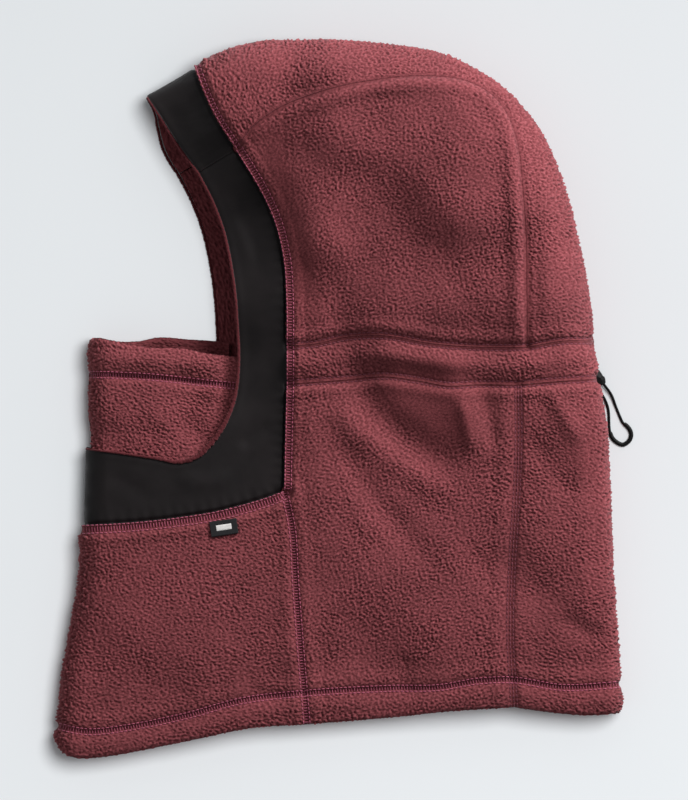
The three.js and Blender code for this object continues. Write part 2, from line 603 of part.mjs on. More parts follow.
// ---- Drawcord -----------------------------------------------------------------------------------
// Tube along a smooth path, with flat ends.
function tube(points, radius, { step, sides, bore = 0 }) {
  const path = new THREE.CatmullRomCurve3(points, false, 'centripetal');
  const circle = (r) => {
    const ring = new THREE.Shape();
    ring.absarc(0, 0, r, 0, 2 * Math.PI);
    return ring;
  };
  const section = new THREE.Shape(circle(radius).getSpacedPoints(sides).slice(0, -1));
  if (bore > 0) {
    section.holes.push(new THREE.Path(circle(bore).getSpacedPoints(sides).slice(0, -1)));
  }
  const steps = Math.ceil(path.getLength() / step);
  const geometry = new THREE.ExtrudeGeometry(section, { steps, extrudePath: path, bevelEnabled: false });
  geometry.deleteAttribute('uv');
  geometry.deleteAttribute('normal');
  return mergeVertices(geometry, 1e-4);
}

const atEyelet = (out, sideways) => eyeletCentre.clone()
  .addScaledVector(eyeletOut, out)
  .add(new THREE.Vector3(0, sideways, 0));
const inChannel = (x, y, side) => surfacePoint({ x, y, side }, CORD_DEPTH);
const CHANNEL_MIDDLE = [[-24, 21], [6, 25], [28, 26], [57, 21], [86, 20], [112, 20.5], [130, 23]];
const eyeletInner = atEyelet(-CORD_DEPTH, STRAND_OFFSET);
const leftCord = [
  ...CHANNEL_MIDDLE.map(([x, y]) => inChannel(x, y, 1)),
  inChannel(142, 24, 1),
  inChannel(150, 24.4, 1),
  inChannel(154.2, 24.6, 0),
  eyeletInner,
];
const rightCord = [
  ...CHANNEL_MIDDLE.map(([x, y]) => inChannel(x, y - 1, -1)),
  inChannel(142, 22.4, -1),
  atEyelet(-CORD_DEPTH, -STRAND_OFFSET),
];
add('drawcord_left', tube(leftCord, CORD_RADIUS, { step: 5, sides: 8 }), cordBlack);
add('drawcord_right', tube(rightCord, CORD_RADIUS, { step: 5, sides: 8 }), cordBlack);

// The lock's frame: its axis runs from the fabric end to the outer end face.
const lockAxis = new THREE.Vector3(Math.cos(LOCK_ANGLE), Math.sin(LOCK_ANGLE), 0);
const lockAcross = new THREE.Vector3(-lockAxis.y, lockAxis.x, 0);
const UP = new THREE.Vector3(0, 0, 1);
const lockPoint = (out, across, up = 0) => LOCK_END.clone()
  .addScaledVector(lockAxis, out)
  .addScaledVector(lockAcross, across)
  .addScaledVector(UP, up);
const lockFrame = new THREE.Matrix4().makeBasis(lockAxis, lockAcross, UP).setPosition(LOCK_END);

// The loop outside: one strand out through the lock, round, and back through it.
const PULL_END = [
  [171.6, -14.1, 1.5], [174.2, -16.2, 1.5], [176.1, -19, 1.5], [176.5, -22, 1.5], [175.2, -25, 1.5],
  [171.6, -27.2, 1.5], [167.8, -25.7, 1.5], [164.9, -22.6, 1.5], [163.6, -18.8, 1.5],
].map((point) => new THREE.Vector3(...point));
const loop = [
  atEyelet(-EYELET_DEPTH, STRAND_OFFSET),
  atEyelet(2.4, STRAND_OFFSET),
  lockPoint(-11.4, 1),
  lockPoint(-8, 1.2),
  lockPoint(-3.2, 1.7),
  lockPoint(0, 2.1),
  new THREE.Vector3(164.4, 3, 2.8),
  new THREE.Vector3(167.4, -4.6, 1.4),
  new THREE.Vector3(169.6, -10, 1.2),
  ...PULL_END,
  new THREE.Vector3(163.2, -13.4, 1.2),
  new THREE.Vector3(163.1, -9.4, 1.2),
  new THREE.Vector3(162.5, -5, 1.6),
  new THREE.Vector3(160.8, -0.4, 2.6),
  new THREE.Vector3(158, 4.4, 3.8),
  lockPoint(0, -2.1),
  lockPoint(-3.2, -1.7),
  lockPoint(-8, -1.2),
  lockPoint(-11.4, -1),
  atEyelet(2.4, -STRAND_OFFSET),
  atEyelet(-EYELET_DEPTH, -STRAND_OFFSET),
];
add('drawcord_loop', tube(loop, CORD_RADIUS, { step: 2.2, sides: 8 }), cordBlack);
add('loop_sleeve', tube(PULL_END, SLEEVE_RADIUS, { step: 2.6, sides: 10, bore: SLEEVE_BORE }), cordBlack);

// ---- Cord lock ----------------------------------------------------------------------------------
// In the lock's own frame x runs out along the axis, y across the two strands and z up.
const LOCK_SIDES = 28;
const LOCK_LENGTH = 10.2;
const PRESS_AT = -3.2; // where the button stands, from the outer end face
const SLOT_WIDTH = 5.9;
const SLOT_HEIGHT = 2.3;
const POCKET = { length: 3.4, width: 5.9, floor: -3.5 };
const BAR = { length: 2.8, width: 5.2, top: -1.15, height: 0.8 };
const STEM = { length: 2.4, width: 0.8 }; // joins the button to the bar, between the two strands
const BUTTON = { radius: 1.7, clear: 0.2, low: 2.3, top: 5.3 };

function block(x0, x1, y0, y1, z0, z1) {
  return new THREE.BoxGeometry(x1 - x0, y1 - y0, z1 - z0)
    .translate((x0 + x1) / 2, (y0 + y1) / 2, (z0 + z1) / 2);
}
function post(radius, z0, z1) {
  return new THREE.CylinderGeometry(radius, radius, z1 - z0, LOCK_SIDES)
    .rotateX(Math.PI / 2)
    .translate(PRESS_AT, 0, (z0 + z1) / 2);
}
const barrelShape = lathe([[0, 0], [3.2, 0], [3.7, -0.6], [4.3, -2.6], [4.3, -4.2], [3.8, -4.4],
  [3.7, -5.4], [3.3, -8], [2.9, -9.6], [2.4, -LOCK_LENGTH], [0, -LOCK_LENGTH]].reverse(), LOCK_SIDES)
  .rotateZ(-Math.PI / 2);
const barrel = subtract(
  barrelShape,
  block(-LOCK_LENGTH - 1, 1, -SLOT_WIDTH / 2, SLOT_WIDTH / 2, -SLOT_HEIGHT / 2, SLOT_HEIGHT / 2),
  block(PRESS_AT - POCKET.length / 2, PRESS_AT + POCKET.length / 2, -POCKET.width / 2, POCKET.width / 2,
    POCKET.floor, 0),
  post(BUTTON.radius + BUTTON.clear, 0, BUTTON.top + 1),
);
add('cord_lock_barrel', barrel.applyMatrix4(lockFrame), plasticBlack);
const plunger = join(
  post(BUTTON.radius, BUTTON.low, BUTTON.top),
  block(PRESS_AT - STEM.length / 2, PRESS_AT + STEM.length / 2, -STEM.width / 2, STEM.width / 2,
    BAR.top - BAR.height / 2, BUTTON.low + 0.2),
  block(PRESS_AT - BAR.length / 2, PRESS_AT + BAR.length / 2, -BAR.width / 2, BAR.width / 2,
    BAR.top - BAR.height, BAR.top),
);
add('cord_lock_plunger', plunger.applyMatrix4(lockFrame), plasticBlack);
const SPRING = { radius: 0.9, wire: 0.15, low: -3.3, high: -2.15, turns: 2 };
const coil = evenShares(20).map((s) => new THREE.Vector3(
  PRESS_AT + SPRING.radius * Math.cos(2 * Math.PI * SPRING.turns * s),
  SPRING.radius * Math.sin(2 * Math.PI * SPRING.turns * s),
  THREE.MathUtils.lerp(SPRING.low, SPRING.high, s),
));
const spring = tube(coil, SPRING.wire, { step: 0.4, sides: 6 }).applyMatrix4(lockFrame);
add('cord_lock_spring', spring, springSteel);

// ---- Label --------------------------------------------------------------------------------------
// A woven tab caught in the chin seam, lying flat on the front of the neck.
const LABEL_CORNER = new THREE.Vector3(-77.4, -73.2, 0); // upper left, where it leaves the seam
const LABEL_TURN = THREE.MathUtils.degToRad(8.4);
const labelPlan = (across, down) => new THREE.Vector3(across, -down, 0)
  .applyAxisAngle(UP, LABEL_TURN)
  .add(LABEL_CORNER);
const under = evenShares(4).flatMap((a) => evenShares(4).map((b) => {
  const { x, y } = labelPlan(a * LABEL_WIDTH, b * LABEL_DROP);
  return surfacePoint({ x, y, side: 1 }, 0).z;
}));
const labelBase = Math.max(...under) + LABEL_CLEAR;
const label = new THREE.BoxGeometry(LABEL_WIDTH, LABEL_DROP, LABEL_THICKNESS)
  .translate(LABEL_WIDTH / 2, -LABEL_DROP / 2, LABEL_THICKNESS / 2)
  .rotateZ(LABEL_TURN)
  .translate(LABEL_CORNER.x, LABEL_CORNER.y, labelBase);
add('label_tab', label, labelBlack);

export default balaclava;
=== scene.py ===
"""Looks of a hooded fleece balaclava with a pull-down mask, lying on its right side, round its frame.

Shapes are worked out in millimetres, in the frame's own axes, and turned into metres as each mesh is made.
The garment is a flattened tube, an upper (left) and a lower (right) layer joined round a rolled rim. Every
panel is a fine grid of plan points laid on that surface, with seams, folds and pile pressed into it.
"""
import math

import bpy
import numpy as np
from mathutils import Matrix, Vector


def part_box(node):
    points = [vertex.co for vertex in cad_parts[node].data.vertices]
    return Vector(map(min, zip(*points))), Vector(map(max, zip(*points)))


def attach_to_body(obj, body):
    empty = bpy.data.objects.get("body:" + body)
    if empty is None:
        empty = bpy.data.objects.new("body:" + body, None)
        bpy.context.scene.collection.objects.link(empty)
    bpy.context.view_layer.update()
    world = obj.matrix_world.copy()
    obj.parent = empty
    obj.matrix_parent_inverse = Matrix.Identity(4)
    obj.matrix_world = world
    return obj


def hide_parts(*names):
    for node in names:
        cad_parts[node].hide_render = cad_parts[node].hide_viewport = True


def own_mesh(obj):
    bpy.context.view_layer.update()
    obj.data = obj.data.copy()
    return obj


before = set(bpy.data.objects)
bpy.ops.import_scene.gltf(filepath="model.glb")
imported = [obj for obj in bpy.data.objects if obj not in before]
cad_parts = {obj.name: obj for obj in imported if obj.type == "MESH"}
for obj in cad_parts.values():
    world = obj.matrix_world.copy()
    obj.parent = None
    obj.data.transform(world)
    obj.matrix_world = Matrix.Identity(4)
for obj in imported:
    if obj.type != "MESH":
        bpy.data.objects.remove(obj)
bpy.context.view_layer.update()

MM = 0.001

# ---- Driving dimensions ---------------------------------------------------------------------------
RIM_RATIO = 0.55  # plan radius of the rolled rim, as a share of the height there
RIM_ROLL = 22  # plan width of the roll beside the rim
# Depths under the garment's surface of the outer and inner faces of each kind of cloth.
FLEECE = (0, 4)
TRIM = (1.6, 2.5)
TRIM_FACING = (2.8, 4.6)
CHANNEL = (0, 2.6)
CHANNEL_BACKING = (6.4, 8.2)
HEM_TURN_UP = (4.4, 7.2)
MASK_DEPTH = 3.4
MASK_TUCK = 1.7  # how much deeper the mask lies where the trim covers it
MASK_THICKNESS = 2.9
LAYER_SHIFT = 12  # how far the lower layer's face edge lies in front of the upper layer's
LAYER_REACH = 20  # how far inside the rim the lower layer lies fully shifted
MASK_BACK_RISE = 10  # how much further up the mask's lower layer reaches at its inner end

FINE = 0.55  # grid cell of what is seen from close by
COARSE = 2.4  # grid cell of inner faces
LOWER_SKIP = 2  # the lower layer keeps one grid row in this many
SEAM_GAP = 0.06  # from a seam's centre line to the panel beside it

# Thickness of the flattened garment: plan point, then the thickness there.
STATIONS = np.array([
    (80, 130, 60), (20, 178, 54), (-60, 185, 38), (-100, 175, 28), (-62, 90, 27), (-60, 20, 27),
    (-30, 70, 33), (5, 100, 46), (40, 60, 48), (120, 70, 50), (150, 24, 40), (60, 22, 39),
    (-10, 20, 33), (30, -60, 34), (-100, -50, 29), (-60, -35, 29), (-150, -60, 28), (-60, -130, 30),
    (-150, -200, 25), (0, -190, 25), (150, -185, 26), (140, -80, 36), (100, -120, 32),
], float)
STATION_BLUR = 22  # how softly one thickness runs over into the next


# ---- Camera, floor and light ----------------------------------------------------------------------
VIEW_CENTRE = (0.0036, -0.0003)
VIEW_LEVEL = 0.02  # height at which the picture's scale is set
VIEW_WIDTH = 0.4128  # width of what the camera sees at that height
CAMERA_HEIGHT = 5.0
SENSOR = 36.0  # width of the camera's sensor, in its own millimetres


def make_camera():
    data = bpy.data.cameras.new("camera")
    data.sensor_fit = "HORIZONTAL"
    data.sensor_width = SENSOR
    data.lens = SENSOR * (CAMERA_HEIGHT - VIEW_LEVEL) / VIEW_WIDTH
    data.clip_end = 20
    camera = bpy.data.objects.new("camera", data)
    camera.location = (*VIEW_CENTRE, CAMERA_HEIGHT)
    bpy.context.scene.collection.objects.link(camera)
    bpy.context.scene.camera = camera


KEY_RISE = math.radians(27)
KEY_TURN = math.radians(48)  # from +X towards +Y
KEY_DISTANCE = 1.8
FILL_PLACE = (-1.3, 0.5, 1.1)
OVERHEAD_PLACE = (1.1, 0.7, 3.8)
# Each lamp's width in metres, its watts and its colour.
KEY_LAMP = {"size": 0.95, "energy": 66, "color": (1, 0.985, 0.985)}
FILL_LAMP = {"size": 1.4, "energy": 3.5, "color": (1, 0.985, 0.985)}
OVERHEAD_LAMP = {"size": 2.1, "energy": 136, "color": (0.975, 0.992, 1)}
SKY_COLOR = (0.96, 0.98, 1, 1)
SKY_STRENGTH = 0.25


def lamp(name, place, settings, floor, state):
    """A round studio lamp aimed at the origin, which lights all but the floor, or the floor alone."""
    data = bpy.data.lights.new(name, "AREA")
    data.shape = "DISK"
    for key, value in settings.items():
        setattr(data, key, value)
    light = bpy.data.objects.new(name, data)
    light.location = place
    light.rotation_euler = (-Vector(place)).to_track_quat("-Z", "Y").to_euler()
    bpy.context.scene.collection.objects.link(light)
    group = bpy.data.collections.new(f"{name} reach")
    group.objects.link(floor)
    for member in group.collection_objects:
        member.light_linking.link_state = state
    light.light_linking.receiver_collection = group


def make_light(floor):
    """A low soft key from the back of the head, kept off the floor, which has a lamp of its own."""
    key_way = Vector((math.cos(KEY_RISE) * math.cos(KEY_TURN), math.cos(KEY_RISE) * math.sin(KEY_TURN),
                      math.sin(KEY_RISE)))
    lamp("key", key_way * KEY_DISTANCE, KEY_LAMP, floor, "EXCLUDE")
    lamp("fill", FILL_PLACE, FILL_LAMP, floor, "EXCLUDE")
    lamp("overhead", OVERHEAD_PLACE, OVERHEAD_LAMP, floor, "INCLUDE")
    world = bpy.data.worlds.new("studio")
    world.use_nodes = True
    sky = world.node_tree.nodes["Background"]
    sky.inputs["Color"].default_value = SKY_COLOR
    sky.inputs["Strength"].default_value = SKY_STRENGTH
    bpy.context.scene.world = world
    bpy.context.scene.view_settings.view_transform = "Standard"


make_camera()


# ---- Plan curves ----------------------------------------------------------------------------------
class Route:
    """A curve as close points, each with the share of the way at which it comes."""

    def __init__(self, points, shares=None):
        self.points = np.asarray(points, float)
        steps = np.linalg.norm(np.diff(self.points, axis=0), axis=1)
        self.length = steps.sum()
        self.shares = np.append(0, np.cumsum(steps)) / self.length if shares is None else shares

    def at(self, share):
        share = np.clip(share, 0, 1)
        return np.stack([np.interp(share, self.shares, column) for column in self.points.T], -1)

    def back(self):
        return Route(self.points[::-1], 1 - self.shares[::-1])

    def part(self, start, end):
        return Route(self.at(np.linspace(start, end, 400)))


def spline(*knots, steps=40):
    """Centripetal Catmull-Rom curve through the knots, as in the CAD model."""
    p = np.array(knots, float)
    p = np.vstack([2 * p[0] - p[1], p, 2 * p[-1] - p[-2]])
    t = np.linspace(0, 1, steps, endpoint=False)[:, None]
    points = []
    for a, b, c, d in zip(p, p[1:], p[2:], p[3:]):
        d0, d1, d2 = (math.sqrt(np.linalg.norm(q)) for q in (b - a, c - b, d - c))
        leave = ((b - a) / d0 - (c - a) / (d0 + d1) + (c - b) / d1) * d1
        arrive = ((c - b) / d1 - (d - b) / (d1 + d2) + (d - c) / d2) * d1
        points.append(b + leave * t + (3 * (c - b) - 2 * leave - arrive) * t ** 2
                      + (2 * (b - c) + leave + arrive) * t ** 3)
    return Route(np.vstack([*points, p[-2:-1]]))


def joined(*routes, shares=None):
    """Routes end to end, each taking a share of the way that is its length unless shares are given."""
    parts = np.array(shares if shares else [route.length for route in routes], float)
    ends = np.append(0, np.cumsum(parts)) / parts.sum()
    spread = [low + (high - low) * route.shares for route, low, high in zip(routes, ends, ends[1:])]
    return Route(np.vstack([route.points for route in routes]), np.concatenate(spread))


TIP = (-115.3, 183.3)
TRIM_TOP = (-85.4, 198)
CROWN_FRONT = (-61, 149.5)
CROSS_FACE = (-83.4, 136.2)
CHANNEL_FRONT_TOP = (-30.6, 32.1)
CHANNEL_FRONT_BOTTOM = (-30.6, 9.4)
CROWN_BACK = (113.2, 31.4)
BACK_NECK_TOP = (107.6, 8.8)
CHANNEL_RIM_TOP = (154.3, 35.3)
CHANNEL_RIM_BOTTOM = (155.5, 12.3)
CHIN_CORNER = (-32.1, -54.8)
CHIN_RIM_TOP = (-153.1, -30)
CHIN_RIM_BOTTOM = (-154.4, -75.4)
HEM_FRONT_RIM = (-169.6, -205.5)
HEM_FRONT_SEAM = (-18.6, -194.8)
HEM_BACK_SEAM = (105.6, -184.4)
HEM_BACK_RIM = (168.6, -188.2)

rim_forehead = spline(TIP, TRIM_TOP)
rim_crown = spline(TRIM_TOP, (-61.8, 207.3), (-34.8, 212.7), (-4.8, 215.1), (25.2, 213.3), (55.2, 208.3),
                   (79.2, 199.4), (100.2, 185.7), (118.2, 164.7), (130.2, 140.7), (139, 113.7),
                   (144.6, 89.7), (149.4, 65.7), CHANNEL_RIM_TOP)
rim_channel = spline(CHANNEL_RIM_TOP, (154.4, 24), CHANNEL_RIM_BOTTOM)
rim_back = spline(CHANNEL_RIM_BOTTOM, (160, -15), (161.8, -45), (164.2, -108), (167.8, -152), HEM_BACK_RIM)
rim_chin = spline(CHIN_RIM_TOP, CHIN_RIM_BOTTOM)
rim_front = spline(CHIN_RIM_BOTTOM, (-157.4, -113), (-162.4, -140), (-166, -163), HEM_FRONT_RIM)
face_forehead = spline(TIP, (-105, 167.7), (-95, 152), CROSS_FACE)
face_cheek = spline(CROSS_FACE, (-74.6, 119), (-67.4, 99), (-61.8, 70), (-59.6, 45), (-58.9, 20),
                    (-61.2, 0.3), (-66, -12.9), (-73, -24.6), (-84, -35.2), (-95, -38.3), (-110, -35.8),
                    (-130, -32.8), CHIN_RIM_TOP)
trim_forehead = spline(TRIM_TOP, (-80.4, 184), (-72.6, 167.5), CROWN_FRONT)
trim_hood = spline(CROWN_FRONT, (-45.6, 124), (-37.6, 106), (-32.4, 84), (-30.8, 60), CHANNEL_FRONT_TOP)
trim_channel = spline(CHANNEL_FRONT_TOP, CHANNEL_FRONT_BOTTOM)
trim_neck = spline(CHANNEL_FRONT_BOTTOM, (-31.4, -20), CHIN_CORNER)
chin_seam = spline(CHIN_CORNER, (-45, -59.6), (-71.4, -66.8), (-97.5, -71), (-124, -73.8), CHIN_RIM_BOTTOM)
front_neck_seam = spline(CHIN_CORNER, (-27.4, -78), (-25.4, -110), (-22.4, -150), HEM_FRONT_SEAM)
crown_seam = spline(CROWN_FRONT, (-51, 163), (-34, 175), (-8, 184.6), (20, 191), (50, 193.6), (74, 191.6),
                    (90, 184), (101, 172), (107.4, 155), (110.6, 125), (112.6, 94), (113, 62), CROWN_BACK)
channel_top_side = spline(CHANNEL_FRONT_TOP, (-14, 33.4), (6, 37.6), (28, 38.2), (57, 33.4), (86, 31.4),
                          CROWN_BACK)
channel_top_back = spline(CROWN_BACK, (134, 35), CHANNEL_RIM_TOP)
channel_bottom_side = spline(CHANNEL_FRONT_BOTTOM, (4, 11.8), (27, 13.8), (47, 11.4), (66, 8.2), (84, 9),
                             BACK_NECK_TOP)
channel_bottom_back = spline(BACK_NECK_TOP, (130, 10.8), CHANNEL_RIM_BOTTOM)
back_neck_seam = spline(BACK_NECK_TOP, (108, -20), (107.2, -50), (104.4, -95), (103, -140), HEM_BACK_SEAM)
hem_front = spline(HEM_FRONT_RIM, (-166, -211.6), (-156.4, -215), (-137, -213.8), (-84.6, -203.6),
                   (-52, -197), HEM_FRONT_SEAM)
hem_side = spline(HEM_FRONT_SEAM, (30, -190.8), (70, -186.6), HEM_BACK_SEAM)
hem_back = spline(HEM_BACK_SEAM, (122, -186.9), (148, -189.3), HEM_BACK_RIM)
HEM_FRONT_STITCH = (-168.3, -196)
HEM_BACK_STITCH = (168.4, -170.8)
hem_stitch = spline(HEM_FRONT_STITCH, (-150, -199.2), (-128, -197), (-91, -189.6), (-58, -180.6),
                    (-18.6, -176), (30, -173.2), (60, -172.6), (84, -168.6), (105, -168), (135, -172.6),
                    HEM_BACK_STITCH)
MASK_RIM_TOP = (-153.1, 35.8)
MASK_RIM_STITCH = (-153.1, 15)
MASK_RIM_FOOT = (-153.9, -66)
MASK_END_TOP = (-53, 25)
MASK_END_STITCH = (-53, 7.6)
MASK_END_FOOT = (-44, -48)
mask_top = spline(MASK_RIM_TOP, (-146.5, 37), (-126, 33.4), (-110, 30.8), (-95, 30.8), (-78, 27.6),
                  MASK_END_TOP)
mask_stitch = spline(MASK_RIM_STITCH, (-137, 14.7), (-113, 13.5), (-95, 11.7), (-74, 9.3), MASK_END_STITCH)
mask_foot = spline(MASK_RIM_FOOT, (-97, -62), MASK_END_FOOT)

cross_seam = spline(CROSS_FACE, CROWN_FRONT)
channel_top = joined(channel_top_back.back(), channel_top_side.back())
channel_bottom = joined(channel_bottom_back.back(), channel_bottom_side.back())
front_edge = joined(trim_neck, front_neck_seam)
hem_edge = joined(hem_front, hem_side, hem_back)
trim_back = joined(trim_hood, trim_channel, trim_neck)
CROWN_TURN = 0.56  # share of the crown seam where it turns down the back of the head
TRIM_CORNER = 0.37  # share of the cheek trim's length at which it turns up from the chin
cheek_outer = joined(chin_seam.back(), trim_back.back(), shares=(TRIM_CORNER, 1 - TRIM_CORNER))


# ---- The garment's surface ------------------------------------------------------------------------
def smooth(start, end, value):
    t = np.clip((value - start) / (end - start), 0, 1)
    return t * t * (3 - 2 * t)


PLAN_X = (-195, 200)  # the plan that rasters cover
PLAN_Y = (-262, 240)


class Raster:
    """Values on a square grid of plan points, read between the points."""

    def __init__(self, step):
        self.step = step
        self.x = np.arange(*PLAN_X, step)
        self.y = np.arange(*PLAN_Y, step)
        self.values = np.zeros((len(self.y), len(self.x)))

    def read(self, plan, values=None):
        values = self.values if values is None else values
        column = np.clip((plan[..., 0] - self.x[0]) / self.step, 0, len(self.x) - 1.001)
        row = np.clip((plan[..., 1] - self.y[0]) / self.step, 0, len(self.y) - 1.001)
        j, i = column.astype(int), row.astype(int)
        u, v = column - j, row - i
        return ((1 - v) * ((1 - u) * values[i, j] + u * values[i, j + 1])
                + v * ((1 - u) * values[i + 1, j] + u * values[i + 1, j + 1]))


# Where the garment is open, at the hem and the face, its rim's outline runs on clear of the cloth.
HEM_RUN_OUT = [(171, -250), (-172, -250)]
FACE_RUN_OUT = [(-153.1, 60), (-153.1, 164.8)]
RIM_CELL = 1.5
HALF_ROLL = math.pi / 2


def rim_field():
    """How far inside the rim each plan point is, and the way inwards there."""
    even = np.linspace(0, 1, 70)
    loop = np.vstack([
        *(rim.at(even) for rim in (rim_forehead, rim_crown, rim_channel, rim_back)), HEM_RUN_OUT,
        rim_front.back().at(even), rim_chin.back().at(even), FACE_RUN_OUT,
    ])
    raster = Raster(RIM_CELL)
    x, y = np.meshgrid(raster.x, raster.y)
    least = np.full(x.shape, 1e9)
    inside = np.zeros(x.shape, bool)
    for (ax, ay), (bx, by) in zip(loop, np.roll(loop, -1, axis=0)):
        run_x, run_y = bx - ax, by - ay
        square = run_x ** 2 + run_y ** 2
        if square < 1e-9:
            continue
        share = np.clip(((x - ax) * run_x + (y - ay) * run_y) / square, 0, 1)
        least = np.minimum(least, (x - ax - share * run_x) ** 2 + (y - ay - share * run_y) ** 2)
        if ay != by:
            inside ^= ((ay > y) != (by > y)) & (x < ax + (y - ay) * run_x / run_y)
    raster.values = np.sqrt(least) * np.where(inside, 1, -1)
    raster.slope_y, raster.slope_x = np.gradient(raster.values, raster.step)
    return raster


RIM = rim_field()


def height_at(plan):
    total = np.zeros(plan.shape[:-1])
    blended = np.zeros(plan.shape[:-1])
    for x, y, height in STATIONS:
        weight = ((plan[..., 0] - x) ** 2 + (plan[..., 1] - y) ** 2 + STATION_BLUR ** 2) ** -2
        total += weight
        blended += weight * height
    return blended / total


def lay(plan, side, depth):
    """Points at a depth under the surface: side 1 is the upper layer, -1 the lower one, 0 the rim."""
    half = height_at(plan) / 2
    radius = 2 * half * RIM_RATIO
    share = np.where(side == 0, 0, np.clip(RIM.read(plan) / radius, 0, 1))
    across = 1 - share
    up = np.sqrt(1 - across ** 2)
    normal = np.stack([across / radius, up / half], -1)
    normal /= np.linalg.norm(normal, axis=-1, keepdims=True)
    inward = np.stack([RIM.read(plan, RIM.slope_x), RIM.read(plan, RIM.slope_y)], -1)
    inward /= np.maximum(np.linalg.norm(inward, axis=-1, keepdims=True), 1e-6)
    level = half + side * (half * up - depth * normal[..., 1])
    return np.concatenate([plan + inward * (depth * normal[..., 0])[..., None], level[..., None]], -1)


def below(plan):
    """Plan points of the upper layer, carried to the lower layer. The shift is whole beside the face and
    runs out towards the crown, the neck and the back of the head."""
    x, y = plan[..., 0], plan[..., 1]
    free = np.clip(RIM.read(plan) / LAYER_REACH, 0, 1)
    shift = LAYER_SHIFT * free * smooth(184, 138, y) * smooth(-45, 20, y) * smooth(90, -50, x)
    return np.stack([x - shift, y], -1)


def mask_below(plan):
    x, y = plan[..., 0], plan[..., 1]
    rise = MASK_BACK_RISE * smooth(-150, -60, x) * smooth(-20, 35, y)
    return below(plan) + np.stack([np.zeros_like(rise), rise], -1)


# ---- Relief: what seams and folds press into the surface ---------------------------------------------
def beside(route, reach, step=0.5):
    """On the relief's raster: signed distance from a route, positive on its left, and share along it."""
    shares = np.linspace(0, 1, int(route.length / step) + 2)
    points = route.at(shares)
    way = np.gradient(points, axis=0)
    way /= np.linalg.norm(way, axis=1, keepdims=True)
    least = np.full(RELIEF.values.shape, reach ** 2)
    which = np.zeros(least.shape, int)
    cells = int(reach / RELIEF.step) + 1
    for k, (x, y) in enumerate(points):
        j = int((x - RELIEF.x[0]) / RELIEF.step)
        i = int((y - RELIEF.y[0]) / RELIEF.step)
        rows = slice(max(i - cells, 0), i + cells + 1)
        columns = slice(max(j - cells, 0), j + cells + 1)
        square = (RELIEF.x[columns] - x)[None, :] ** 2 + (RELIEF.y[rows] - y)[:, None] ** 2
        nearer = square < least[rows, columns]
        least[rows, columns][nearer] = square[nearer]
        which[rows, columns][nearer] = k
    x, y = np.meshgrid(RELIEF.x, RELIEF.y)
    point, way = points[which], way[which]
    left = way[..., 0] * (y - point[..., 1]) - way[..., 1] * (x - point[..., 0])
    return np.sqrt(least) * np.where(left >= 0, 1, -1), shares[which]


def bell(gap, width):
    return np.exp(-(gap / width) ** 2)


RELIEF = Raster(0.5)
CHIN_LADDER = 2.7  # from the trim's edge down to the middle of the chin seam's ladder
FRONT_LADDER = 2.1  # from the trim's edge back to the middle of the front seam's ladder
PRESS_BLUR = 1.1  # how far past the stitching the pile comes up again
BACK_ROWS = (-1.9, 0.0, 1.9)  # rows of stitches along the back seam


def pressed_flat():
    """Where stitching presses the pile flat: 1 on the stitching and 0 clear of it. Each entry is a seam,
    how far to its left the stitching is, and the stitching's half width."""
    most = np.zeros(RELIEF.values.shape)
    for route, shift, half in (
        (crown_seam, -0.6, 1.0), (trim_hood, FRONT_LADDER, 2.0), (trim_channel, FRONT_LADDER, 2.0),
        (trim_neck, FRONT_LADDER, 2.0), (trim_forehead, FRONT_LADDER, 1.6), (front_neck_seam, 0, 2.0),
        (channel_top, 0.3, 1.8), (channel_bottom, -0.3, 1.8), (back_neck_seam, 0, 2.4),
        (chin_seam, CHIN_LADDER, 2.6), (hem_stitch, 0, 1.8), (mask_stitch, 0, 2.0),
    ):
        gap, _ = beside(route, 8)
        most = np.maximum(most, smooth(half + PRESS_BLUR, half, np.abs(gap - shift)))
    return most


